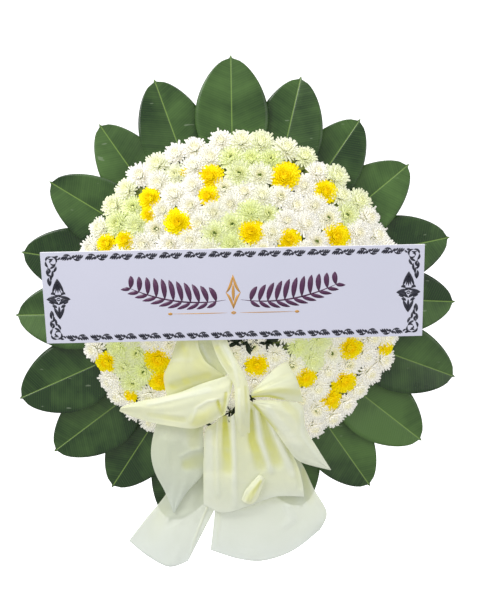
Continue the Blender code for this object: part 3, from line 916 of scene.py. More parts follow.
# %% Yellow heads, one piece each
yellow_kinds = collection_of("yellow_kinds", [kinds["yellow_full"]])
YELLOW_RADIUS = 0.0205  # outer radius of the yellow kind at size 1
YELLOW_FULLNESS = 1.2  # how much larger than that match the heads are drawn
YELLOW_PROUD = 3 * MM  # how much less deep they are set than most white heads
for number, (node, (x, z, r)) in enumerate(zip(yellow_nodes, yellow_spots), start=1):
    name = f"yellow_mum_{number:02d}"
    lean = (rng.normal(0, 0.06), 0.0, rng.normal(0, 0.06))
    size = r / YELLOW_RADIUS * YELLOW_FULLNESS
    row = set_head(x, z, HEAD_HEIGHT - YELLOW_PROUD, 0, size, rng.uniform(0, 1), lean, number * 1.3)
    head = bake(name, bed_tree, {"Kinds": yellow_kinds}, points_mesh(name, [row]))
    piece(head, "yellow_petals", node)

# %% Two small yellow buds, sunk between the white heads
BUD_SINK = 4 * MM
BUDS = [(-0.110, 0.254, 0.45), (-0.097, 0.143, 0.62)]  # x, z and size
rows = [set_head(x, z, HEAD_HEIGHT + BUD_SINK, 0, size, 0.5, (0.0, 0.0, 0.0), 1.0) for x, z, size in BUDS]
buds = bake("yellow_buds", bed_tree, {"Kinds": yellow_kinds}, points_mesh("yellow_buds", rows))
piece(buds, "yellow_petals")

# %% [markdown]
# ## Foliage between the heads
# Looking straight into a gap one sees dark stems and small leaves, so a low bumpy dome of dark green stands
# under the heads. It is one grid of rings pushed in and out by a few waves, closed at the back.

# %% Dark dome under the heads
UNDER_DEPTH = 17 * MM
UNDER_MARGIN = 0.028  # how far it stops inside the dome's rim
UNDER_BACK = -0.046  # depth of its flat back
UNDER_RINGS = 40
UNDER_SPOKES = 160
leafy_tree, leafy_surface = new_material("chrysanthemum_foliage_dark")
leafy_place = add(leafy_tree, "ShaderNodeTexCoord").outputs["Object"]
leafy_noise = add(leafy_tree, "ShaderNodeTexNoise", {"Vector": leafy_place, "Scale": 90.0}).outputs[0]
leafy_sharp = add(leafy_tree, "ShaderNodeMapRange", {0: leafy_noise, 1: 0.4, 2: 0.62}).outputs[0]
leafy_green = add(
    leafy_tree,
    "ShaderNodeMix",
    {"Factor": leafy_sharp, "A": linear("#2a3f18"), "B": linear("#a3b068")},
    data_type="RGBA",
).outputs[2]
leafy = leafy_surface(Base_Color=leafy_green, Roughness=0.7, IOR=1.4)
bm = bmesh.new()
rings = []
for i in range(1, UNDER_RINGS + 1):
    ring = []
    for k in range(UNDER_SPOKES):
        out = (DOME_RADIUS - UNDER_MARGIN) * i / UNDER_RINGS
        turn_of = 2 * pi * k / UNDER_SPOKES
        x, z = out * cos(turn_of), out * sin(turn_of)
        bump = 4 * MM * sin(x * 260 + 2 * sin(z * 130)) * sin(z * 240 + 1.5 * sin(x * 170))
        ring.append(bm.verts.new((x, dome(x, z) + UNDER_DEPTH + bump, z)))
    rings.append(ring)
rings.append([bm.verts.new((v.co.x * 0.96, UNDER_BACK, v.co.z * 0.96)) for v in rings[-1]])
crown = bm.verts.new((0, dome(0, 0) + UNDER_DEPTH, 0))
back = bm.verts.new((0, UNDER_BACK, 0))
for low, high in zip(rings, rings[1:]):
    for k in range(UNDER_SPOKES):
        n = (k + 1) % UNDER_SPOKES
        bm.faces.new((low[k], low[n], high[n], high[k]))
for k in range(UNDER_SPOKES):
    n = (k + 1) % UNDER_SPOKES
    bm.faces.new((rings[0][n], rings[0][k], crown))
    bm.faces.new((rings[-1][k], rings[-1][n], back))
bmesh.ops.recalc_face_normals(bm, faces=bm.faces)
piece(object_from(bm, "foliage_under_heads", leafy), "leaf")

# %% [markdown]
# ## Dark sprigs in the open gaps
# Where the bed is left open, under the sign and round the knot of the bow, small dark leaves fill the hole;
# their near-black green is partly the leaves' own colour and partly painted shade for the shadow in the hole.
# One little blade on a long stalk is made once, and a Geometry Nodes tree stands it on each chosen point
# with its own turn and size. The stalk is there to reach down among the flowers, so that few blades hang
# free.

# %% Sprigs
SPRIG_LONG = 26 * MM
SPRIG_CURL = 4 * MM
SPRIG_STALK = 36  # mm
SPRIG_BLADES = 5  # on each spot
SPRIG_OUTLINE = [(0.0, 0.6), (0.25, 3.2), (0.55, 4.6), (0.8, 3.0), (1.0, 0.3)]  # share, half width in mm
SPRIG_SPOTS = [  # x, z, how far in front of the dome, and size
    (-0.026, -0.088, -4, 1.1),
    (-0.012, -0.082, -3, 1.2),
    (0.002, -0.090, -4, 1.2),
    (0.016, -0.083, -3, 1.2),
    (0.030, -0.088, -4, 1.0),
    (0.058, -0.086, -4, 0.9),
    (0.070, -0.084, -4, 0.9),
    (-0.014, -0.226, 22, 0.9),
    (-0.010, -0.238, 22, 0.8),
    (-0.070, -0.258, 10, 0.9),
    (0.028, -0.199, 12, 0.6),
    (-0.108, 0.262, -6, 0.5),
]
bm = bmesh.new()
blade_rows = []
for share, half in SPRIG_OUTLINE:
    x = SPRIG_LONG * share
    lift = SPRIG_CURL * share**2
    edge = lift + 0.8 * MM
    ring = [(x, half * MM, edge), (x, 0, lift), (x, -half * MM, edge), (x, 0, lift - 0.6 * MM)]
    blade_rows.append([bm.verts.new(spot) for spot in ring])
for low, high in zip(blade_rows, blade_rows[1:]):
    for k in range(4):
        n = (k + 1) % 4
        bm.faces.new((low[k], low[n], high[n], high[k]))
bm.faces.new(list(reversed(blade_rows[0])))
bm.faces.new(blade_rows[-1])
stalk_rows = []
for height in (0.5, -SPRIG_STALK):
    corners = [(0, -0.7), (1.4, -0.7), (1.4, 0.7), (0, 0.7)]
    stalk_rows.append([bm.verts.new((x * MM, y * MM, height * MM)) for x, y in corners])
for k in range(4):
    n = (k + 1) % 4
    bm.faces.new((stalk_rows[0][k], stalk_rows[0][n], stalk_rows[1][n], stalk_rows[1][k]))
bm.faces.new(stalk_rows[0])
bm.faces.new(list(reversed(stalk_rows[1])))
bmesh.ops.recalc_face_normals(bm, faces=bm.faces)
blade = object_from(bm, "sprig_blade")
sprig_tree, given = group_with("sprigs", [("Blade", "Object"), ("Finish", "Material")])
facing = add(
    sprig_tree, "GeometryNodeInputNamedAttribute", {"Name": "facing"}, data_type="FLOAT_VECTOR"
).outputs[0]
facing = add(sprig_tree, "FunctionNodeEulerToRotation", {0: facing}).outputs[0]
scale = add(sprig_tree, "GeometryNodeInputNamedAttribute", {"Name": "size"}, data_type="FLOAT").outputs[0]
one = add(sprig_tree, "GeometryNodeObjectInfo", {"Object": given["Blade"]}).outputs["Geometry"]
copies = add(
    sprig_tree,
    "GeometryNodeInstanceOnPoints",
    {"Points": given["Geometry"], "Instance": one, "Rotation": facing, "Scale": scale},
).outputs[0]
copies = add(sprig_tree, "GeometryNodeRealizeInstances", {"Geometry": copies}).outputs[0]
copies = add(
    sprig_tree, "GeometryNodeSetMaterial", {"Geometry": copies, "Material": given["Finish"]}
).outputs[0]
add(sprig_tree, "NodeGroupOutput", {0: copies})
# painted shade: the near-black green stands partly for the leaves and partly for the shadow in the holes
dark_tree, dark_surface = new_material("foliage_leaf_painted_shade")
dark_place = add(dark_tree, "ShaderNodeTexCoord").outputs["Object"]
dark_noise = add(dark_tree, "ShaderNodeTexNoise", {"Vector": dark_place, "Scale": 60.0}).outputs[0]
painted_shade_green = add(
    dark_tree,
    "ShaderNodeMix",
    {"Factor": dark_noise, "A": linear("#0d1a08"), "B": linear("#22381a")},
    data_type="RGBA",
).outputs[2]
dark_leaf = dark_surface(Base_Color=painted_shade_green, Roughness=0.5, IOR=1.4)
rows = []
for x, z, front, size in SPRIG_SPOTS:
    for k in range(SPRIG_BLADES):
        lean = (dome_lean(x, z) + Vector((rng.normal(0, 0.4), 0, rng.normal(0, 0.4)))).normalized()
        spin = Matrix.Rotation(rng.uniform(0, 2 * pi), 3, "Z")
        turned = lean.to_track_quat("Z", "Y").to_matrix() @ spin
        place = Vector((x + rng.normal(0, 2) * MM, dome(x, z) - front * MM, z + rng.normal(0, 2) * MM))
        rows.append((place, 0, tuple(turned.to_euler()), size * rng.uniform(0.6, 1.1), 0.0))
sprigs = bake(
    "dark_sprigs", sprig_tree, {"Blade": blade, "Finish": dark_leaf}, points_mesh("dark_sprigs", rows)
)
piece(sprigs, "leaf")
bpy.data.objects.remove(blade)

for used in [petal, calyx_cup, *kinds.values()]:
    bpy.data.objects.remove(used)
for used in (white_kinds, yellow_kinds):
    bpy.data.collections.remove(used)

# %% [markdown]
# ## Board, wire, foam and bamboo
# These carried-over solids already have the right shape, so they only need their finishes: rotary-cut plywood
# with its long grain, zinc-coated wire, dark green floral foam with open cells, and split bamboo.


# %% Finishes for the carried-over solids
def grained(name, dark, light, scale, stretch, roughness, depth, metallic=0.0):
    """A material with one stretched noise for its grain, in Object coordinates."""
    tree, surface = new_material(name)
    place = add(tree, "ShaderNodeTexCoord").outputs["Object"]
    pulled = add(tree, "ShaderNodeMapping", {"Vector": place, "Scale": stretch}).outputs[0]
    grain = add(
        tree, "ShaderNodeTexNoise", {"Vector": pulled, "Scale": scale, "Detail": 6.0, "Distortion": 0.6}
    ).outputs[0]
    sharp = add(tree, "ShaderNodeMapRange", {0: grain, 1: 0.35, 2: 0.65}).outputs[0]
    colour = add(
        tree, "ShaderNodeMix", {"Factor": sharp, "A": linear(dark), "B": linear(light)}, data_type="RGBA"
    ).outputs[2]
    rough = add(
        tree, "ShaderNodeMapRange", {0: grain, 3: roughness - 0.08, 4: roughness + 0.1}
    ).outputs[0]
    relief = add(tree, "ShaderNodeBump", {"Strength": 0.5, "Distance": depth, "Height": grain}).outputs[0]
    return surface(Base_Color=colour, Roughness=rough, Normal=relief, Metallic=metallic)


plywood = grained("birch_plywood_sanded", "#a9865a", "#cdae80", 9.0, (1.0, 1.0, 9.0), 0.62, 0.3 * MM)
zinc_wire = grained("galvanised_wire_drawn", "#8c8f90", "#c3c6c8", 300.0, (1, 1, 1), 0.38, 0.05 * MM, 1.0)
wet_foam = grained("floral_foam_open_cell", "#16260f", "#2c4420", 700.0, (1, 1, 1), 0.92, 0.8 * MM)
split_bamboo = grained("split_bamboo", "#b4924f", "#d9bd7c", 60.0, (1.0, 0.05, 1.0), 0.5, 0.1 * MM)
for node, finish in (
    ("back_board", plywood),
    ("hanger_loop", zinc_wire),
    ("floral_foam", wet_foam),
    ("sign_stake_left", split_bamboo),
    ("sign_stake_right", split_bamboo),
    ("bow_pick", split_bamboo),
):
    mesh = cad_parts[node].data
    mesh.materials.clear()
    mesh.materials.append(finish)

# %% [markdown]
# ## The sign board
# The sign is foam board: two sheets of coated paper on a white foam core, cut with a knife so that its
# edges are crisp. It is modelled as one bevelled slab with paper on its two faces and foam on its four
# edges, in the place and lean of its solid, which is measured from the solid's eight corners.


# %% Sign materials
def paper_material(name, colour, darker, roughness, coat):
    tree, surface = new_material(name)
    place = add(tree, "ShaderNodeTexCoord").outputs["Object"]
    cloud = add(tree, "ShaderNodeTexNoise", {"Vector": place, "Scale": 5.0, "Detail": 2.0}).outputs[0]
    mixed = add(
        tree, "ShaderNodeMix", {"Factor": cloud, "A": linear(colour), "B": linear(darker)}, data_type="RGBA"
    ).outputs[2]
    fibre = add(tree, "ShaderNodeTexNoise", {"Vector": place, "Scale": 1400.0, "Detail": 2.0}).outputs[0]
    relief = add(
        tree, "ShaderNodeBump", {"Strength": 0.15, "Distance": 0.05 * MM, "Height": fibre}
    ).outputs[0]
    return surface(
        Base_Color=mixed, Roughness=roughness, Normal=relief, Coat_Weight=coat, Coat_Roughness=0.3
    )


coated_paper = paper_material("coated_paper_face", "#dcdcec", "#d4d6e6", 0.5, 0.2)
foam_core = paper_material("polystyrene_foam_core", "#f0f0f4", "#e4e4ea", 0.85, 0.0)
border_ink = paper_material("printing_ink_navy", "#1c1d2c", "#262738", 0.45, 0.1)
plum_ink = paper_material("printing_ink_plum", "#4a1a45", "#541f4d", 0.42, 0.2)
gold_ink = paper_material("printing_ink_gold", "#c98f3f", "#dba653", 0.35, 0.3)

# %% Sign board
corners = {tuple(round(c, 5) for c in v.co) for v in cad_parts["sign_board"].data.vertices}
corners = np.array(sorted(corners))
sign_middle = Vector(corners.mean(0))
sign_axes = np.linalg.svd(corners - corners.mean(0))[2]
sign_right = Vector(sign_axes[0]) * (1 if sign_axes[0][0] > 0 else -1)
sign_up = Vector(sign_axes[1]) * (1 if sign_axes[1][2] > 0 else -1)
sign_front = sign_right.cross(sign_up)
from_middle = corners - corners.mean(0)
sign_size = [float(np.ptp(from_middle @ np.array(a))) for a in (sign_right, sign_up, sign_front)]
SIGN_WIDTH, SIGN_HEIGHT, SIGN_THICK = sign_size
print("sign in mm:", [round(s * 1000, 1) for s in sign_size], "faces", [round(c, 2) for c in sign_front])


def on_sign(x, up, out=0.0):
    """A point given along the sign, up it and in front of its face."""
    return sign_middle + sign_right * x + sign_up * up + sign_front * (SIGN_THICK / 2 + out)


bm = bmesh.new()
bmesh.ops.create_cube(bm, size=1.0)
for vert in bm.verts:
    along, out, up = vert.co.x * SIGN_WIDTH, -vert.co.y * SIGN_THICK, vert.co.z * SIGN_HEIGHT
    vert.co = sign_middle + sign_right * along + sign_up * up + sign_front * out
bmesh.ops.bevel(bm, geom=bm.edges, offset=0.4 * MM, segments=2, affect="EDGES", profile=0.5)
bmesh.ops.recalc_face_normals(bm, faces=bm.faces)
for face in bm.faces:
    face.material_index = 0 if abs(face.normal.dot(sign_front)) > 0.9 else 1
sign = object_from(bm, "sign_foam_board", coated_paper, foam_core)
sign.data.set_sharp_from_angle(angle=radians(20))
piece(sign, "sign_board", "sign_board")

# %% [markdown]
# ## The printed border
# The border is a chain of twisted leaf scrolls, with a rounded scroll in each corner and a spear-shaped bud
# in the middle of each end. Every mark is a stroke that swells and tapers, so one function makes a stroke
# from a start, a bend and an end. The print stands a little proud, so that it never fights the paper.


# %% Strokes
def stroke(bm, start, bend, end, width, steps=7, pointed=(True, True)):
    """A flat swelling stroke along a curve, in the sign's own x and up, as a thin closed slab."""
    start, bend, end = Vector(start), Vector(bend), Vector(end)
    lower, upper = [], []
    for i in range(steps + 1):
        t = i / steps
        spot = start * (1 - t) ** 2 + bend * 2 * t * (1 - t) + end * t * t
        heading = (bend - start) * (1 - t) + (end - bend) * t
        side = Vector((-heading.y, heading.x)).normalized()
        swell = sin(pi * t) ** 0.6 if all(pointed) else sin(pi / 2 * (1 - t)) ** 0.5
        half = width / 2 * max(swell, 0.12)
        for row, sign_of in ((upper, 1), (lower, -1)):
            row.append(spot + side * half * sign_of)
    slab = [[], []]
    for layer, depth in enumerate((0.0, PRINT_THICK)):
        for point in [*upper, *reversed(lower)]:
            slab[layer].append(bm.verts.new((point.x, -depth, point.y)))
    total = len(slab[0])
    bm.faces.new(slab[1])
    bm.faces.new(list(reversed(slab[0])))
    for k in range(total):
        n = (k + 1) % total
        bm.faces.new((slab[0][k], slab[0][n], slab[1][n], slab[1][k]))


PRINT_THICK = 0.1 * MM
PRINT_LIFT = 0.05 * MM


def print_to_sign(obj):
    """Moves a print made in x and up onto the sign's face."""
    basis = Matrix((sign_right, -sign_front, sign_up)).transposed()
    origin = on_sign(0, 0, PRINT_LIFT)
    obj.data.transform(Matrix.Translation(origin) @ basis.to_4x4())
    return obj


# %% One scroll of the chain, one corner and one bud
SCROLL_LONG = 0.0435
SCROLL_TALL = 0.0130


def draw_scroll():
    """Two interlocked hatched leaves, the right one being the left one turned half round."""
    bm = bmesh.new()
    marks = [  # start, bend, end as shares of the length and height, width as a share of the height
        ((0.00, -0.34), (0.06, -0.05), (0.15, 0.22), 0.17),
        ((0.08, -0.42), (0.15, -0.10), (0.24, 0.34), 0.19),
        ((0.17, -0.44), (0.25, -0.10), (0.33, 0.42), 0.19),
        ((0.27, -0.42), (0.33, -0.20), (0.40, 0.02), 0.17),
        ((0.12, 0.30), (0.30, 0.62), (0.45, 0.12), 0.17),
        ((0.40, -0.36), (0.46, 0.02), (0.50, 0.0), 0.26),
    ]
    for turn_half in (1, -1):
        for start, bend, end, width in marks:
            turned = [
                ((0.5 + turn_half * (x - 0.5)) * SCROLL_LONG, turn_half * up * SCROLL_TALL)
                for x, up in (start, bend, end)
            ]
            stroke(bm, *turned, width * SCROLL_TALL * 1.6, steps=5)
    return object_from(bm, "scroll", border_ink)


CORNER_MARKS = [  # start, bend, end in mm from the corner's outer point, and width in mm
    ((1, -8), (1, 1), (12, 1), 3.0),
    ((12, 1), (25, 0), (20, -12), 3.0),
    ((20, -12), (15, -19), (9, -12), 2.6),
    ((9, -12), (7, -6), (14, -7), 2.4),
    ((1, -8), (-1, -15), (5, -20), 3.0),
    ((6, -3), (10, -6), (16, -3), 2.2),
    ((18, 1), (22, 0), (25, 2), 2.8),
    ((23, -5), (27, -4), (29, 0), 2.4),
    ((19, -16), (13, -20), (8, -22), 3.0),
    ((20, -18), (19, -25), (13, -30), 3.2),
    ((3, -21), (11, -26), (3, -33), 3.4),
    ((3, -23), (0, -31), (5, -38), 3.2),
    ((12, -26), (13, -34), (10, -41), 3.2),
    ((5, -34), (11, -39), (7, -47), 3.2),
    ((4, -40), (2, -47), (5, -57), 3.6),
    ((8, -44), (8, -50), (5, -57), 2.4),
]
BUD_MARKS = [
    ((0, 41), (-6, 25), (-11, 13), 3.6),
    ((0, 41), (6, 25), (11, 13), 3.6),
    ((0, 38), (-2, 24), (-5, 13), 2.4),
    ((0, 38), (2, 24), (5, 13), 2.4),
    ((0, 34), (0, 24), (0, 12), 2.6),
    ((-14, 10), (-9, 15), (-6, 8), 4.2),
    ((14, 10), (9, 15), (6, 8), 4.2),
    ((-8, 9), (0, 6), (8, 9), 2.4),
    ((-23, 0), (-11, 6), (0, 5), 3.2),
    ((23, 0), (11, 6), (0, 5), 3.2),
    ((-23, 0), (-9, -1), (0, -11), 5.0),
    ((23, 0), (9, -1), (0, -11), 5.0),
    ((-14, 1), (-8, 3), (-4, -3), 2.4),
    ((14, 1), (8, 3), (4, -3), 2.4),
    ((-4, 0), (0, 4), (4, 0), 1.8),
    ((-4, 0), (0, -5), (4, 0), 1.8),
    ((-19, -5), (-13, -6), (-9, -10), 3.2),
    ((19, -5), (13, -6), (9, -10), 3.2),
    ((-13, -13), (-9, -12), (-4, -17), 4.0),
    ((13, -13), (9, -12), (4, -17), 4.0),
    ((-10, -16), (-5, -25), (0, -40), 4.2),
    ((10, -16), (5, -25), (0, -40), 4.2),
    ((0, -14), (0, -22), (0, -33), 3.0),
]


def draw_marks(bm, marks, place, flip_x=1, flip_up=1):
    """Strokes listed in millimetres, moved to a place and mirrored where asked."""
    for start, bend, end, width in marks:
        moved = [(place[0] + flip_x * x * MM, place[1] + flip_up * up * MM) for x, up in (start, bend, end)]
        stroke(bm, *moved, width * MM * 1.5, steps=5)


# %% [markdown]
# ## Repeat the scroll by Geometry Nodes
# The tree puts one scroll at every point of a straight row, in each of the two long edges, so the number of
# scrolls and their spacing stay two plain inputs.

# %% The chain tree
CHAIN_COUNT = 14
chain_tree, given = group_with(
    "scroll_chain",
    [
        ("Scroll", "Object"),
        ("Scrolls", "Int"),
        ("Start", "Vector"),
        ("Spacing", "Vector"),
        ("Flip", "Vector"),
        ("Finish", "Material"),
    ],
)
row = add(
    chain_tree,
    "GeometryNodeMeshLine",
    {"Count": given["Scrolls"], "Start Location": given["Start"], "Offset": given["Spacing"]},
).outputs[0]
one = add(chain_tree, "GeometryNodeObjectInfo", {"Object": given["Scroll"]}).outputs["Geometry"]
copies = add(
    chain_tree, "GeometryNodeInstanceOnPoints", {"Points": row, "Instance": one, "Scale": given["Flip"]}
).outputs[0]
copies = add(chain_tree, "GeometryNodeRealizeInstances", {"Geometry": copies}).outputs[0]
copies = add(
    chain_tree, "GeometryNodeSetMaterial", {"Geometry": copies, "Material": given["Finish"]}
).outputs[0]
add(chain_tree, "NodeGroupOutput", {0: copies})

# %% Chains, corners and buds
EDGE_INSET = 0.0108  # from the board's edge to the middle of the chain
CHAIN_END = 0.0385  # from the board's end to the first scroll
scroll = draw_scroll()
chain_step = (SIGN_WIDTH - 2 * CHAIN_END - SCROLL_LONG) / (CHAIN_COUNT - 1)
print("scroll spacing in mm:", round(chain_step * 1000, 1))
for label, level, flip in (("top", 1, 1), ("bottom", -1, -1)):
    start = (-SIGN_WIDTH / 2 + CHAIN_END, 0, level * (SIGN_HEIGHT / 2 - EDGE_INSET))
    chain = bake(
        f"sign_border_{label}",
        chain_tree,
        {
            "Scroll": scroll,
            "Scrolls": CHAIN_COUNT,
            "Start": start,
            "Spacing": (chain_step, 0, 0),
            "Flip": (1, 1, flip),
            "Finish": border_ink,
        },
    )
    if flip < 0:
        chain.data.flip_normals()
    piece(print_to_sign(chain), "sign_board")
bpy.data.objects.remove(scroll)

bm = bmesh.new()
CORNER_INSET = (0.0090, 0.0095)
for side in (-1, 1):
    for level in (-1, 1):
        spot = (side * (SIGN_WIDTH / 2 - CORNER_INSET[0]), level * (SIGN_HEIGHT / 2 - CORNER_INSET[1]))
        draw_marks(bm, CORNER_MARKS, spot, -side, level)
    draw_marks(bm, BUD_MARKS, (side * (SIGN_WIDTH / 2 - 0.029), -0.002))
bmesh.ops.recalc_face_normals(bm, faces=bm.faces)
piece(print_to_sign(object_from(bm, "sign_corners_and_buds", border_ink)), "sign_board")

# %% [markdown]
# ## The middle of the sign
# A real sign carries a name or a message there. This one has a plain funeral ornament instead: two mirrored
# sprays of plum leaves that meet at a small gold lozenge, and a thin gold rule below. It says nothing and
# belongs to nobody.

# %% Sprays, lozenge and rule
SPRAY_LEAVES = 11
SPRAY_REACH = 0.205
bm = bmesh.new()
for side in (-1, 1):
    stroke(bm, (side * 0.014, -0.010), (side * 0.110, -0.026), (side * SPRAY_REACH, 0.020), 0.0030, steps=12)
    for i in range(SPRAY_LEAVES):
        t = 0.10 + 0.86 * i / (SPRAY_LEAVES - 1)
        x = 0.014 * (1 - t) ** 2 + 0.110 * 2 * t * (1 - t) + SPRAY_REACH * t * t
        up = -0.010 * (1 - t) ** 2 - 0.026 * 2 * t * (1 - t) + 0.020 * t * t
        long = 0.042 * sin(pi * (0.18 + 0.62 * (1 - t)))
        for turn, share in ((62, 1.0), (-38, 0.72)):
            angle = radians(turn + 34 * t)
            tip = (side * (x + long * share * cos(angle)), up + long * share * sin(angle))
            bend_x = x + long * share * 0.45 * cos(angle) - 0.003
            bend = (side * bend_x, up + long * share * 0.62 * sin(angle))
            stroke(bm, (side * x, up), bend, tip, 0.0105 * share, steps=6)
bmesh.ops.recalc_face_normals(bm, faces=bm.faces)
piece(print_to_sign(object_from(bm, "sign_leaf_sprays", plum_ink)), "sign_board")

bm = bmesh.new()
for side in (-1, 1):
    stroke(bm, (0, 0.040), (side * 0.004, 0.014), (side * 0.014, 0.004), 0.0052)
    stroke(bm, (0, -0.028), (side * 0.004, -0.006), (side * 0.014, 0.004), 0.0052)
    stroke(bm, (side * 0.012, -0.036), (side * 0.060, -0.0365), (side * 0.118, -0.036), 0.0016, steps=10)
    stroke(bm, (side * 0.118, -0.036), (side * 0.122, -0.0335), (side * 0.127, -0.036), 0.0030)
    stroke(bm, (side * 0.118, -0.036), (side * 0.122, -0.0385), (side * 0.127, -0.036), 0.0030)
stroke(bm, (-0.005, -0.036), (0, -0.0325), (0.005, -0.036), 0.0030)
stroke(bm, (-0.005, -0.036), (0, -0.0395), (0.005, -0.036), 0.0030)
stroke(bm, (0, 0.022), (0.0002, 0.004), (0, -0.012), 0.0060)
bmesh.ops.recalc_face_normals(bm, faces=bm.faces)
piece(print_to_sign(object_from(bm, "sign_gold_rules", gold_ink)), "sign_board")

# %% [markdown]
# ## The ribbon
# The bow is one wide strip of non-woven ribbon, cream and thin enough for light to pass. It is gathered at
# the knot, so the loops and tails start narrow there and open towards their full width. Each stretch is one
# smooth sheet through a few drawn rows, with its folds added on top. Solidify gives the cloth its
# thickness. A cloth simulation would settle into folds of its own, so these are listed one by one.

# %% Ribbon material, for cloth that lies double and for single cloth
def ribbon_material(name, plain, doubled_and_shaded, hem_colour, alpha):
    tree, surface = new_material(name)
    place = add(tree, "ShaderNodeTexCoord").outputs["Object"]
    doubling_and_painted_light = add(tree, "ShaderNodeAttribute", attribute_name="doubling_and_painted_light").outputs["Fac"]
    hem = add(tree, "ShaderNodeAttribute", attribute_name="hem").outputs["Fac"]
    # doubled cloth looks deeper and yellower, and single cloth at the hems looks greyer; the same mix
    # also holds painted shade in the valleys of the folds and painted highlight on their ridges
    deep = add(
        tree, "ShaderNodeMix", {"Factor": doubling_and_painted_light, "A": linear(plain), "B": linear(doubled_and_shaded)}, data_type="RGBA"
    ).outputs[2]
    thin = add(
        tree, "ShaderNodeMix", {"Factor": hem, "A": deep, "B": linear(hem_colour)}, data_type="RGBA"
    ).outputs[2]
    # fibres laid at random and pressed flat, and soft creases a few centimetres apart
    fibres = add(tree, "ShaderNodeTexNoise", {"Vector": place, "Scale": 1100.0, "Detail": 4.0}).outputs[0]
    crease = add(
        tree, "ShaderNodeTexNoise", {"Vector": place, "Scale": 22.0, "Detail": 3.0, "Distortion": 0.8}
    ).outputs[0]
    mottle = add(tree, "ShaderNodeMapRange", {0: crease, 1: 0.35, 2: 0.65, 3: 0.0, 4: 0.3}).outputs[0]
    colour = add(
        tree, "ShaderNodeMix", {"Factor": mottle, "A": thin, "B": linear("#d3d9c9")}, data_type="RGBA"
    ).outputs[2]
    soft_relief = add(
        tree, "ShaderNodeBump", {"Strength": 0.5, "Distance": 4 * MM, "Height": crease}
    ).outputs[0]
    fine_relief = add(
        tree,
        "ShaderNodeBump",
        {"Strength": 0.25, "Distance": 0.1 * MM, "Height": fibres, "Normal": soft_relief},
    ).outputs[0]
    made = surface(
        Base_Color=colour,
        Roughness=0.85,
        Normal=fine_relief,
        Alpha=alpha,
        # painted glow: a little of the cloth's own colour given back as light, for light passing through it
        Emission_Color=colour,
        Emission_Strength=0.1,
        Sheen_Weight=0.1,
        Specular_IOR_Level=0.1,
    )
    made.use_transparent_shadow = True
    return made


doubled_cloth = ribbon_material("nonwoven_ribbon_cream_gathered", "#eef0d8", "#d8d858", "#e2e6d6", 0.78)
single_cloth = ribbon_material("nonwoven_ribbon_cream_single", "#dadfc8", "#d4d784", "#d3dad2", 0.68)
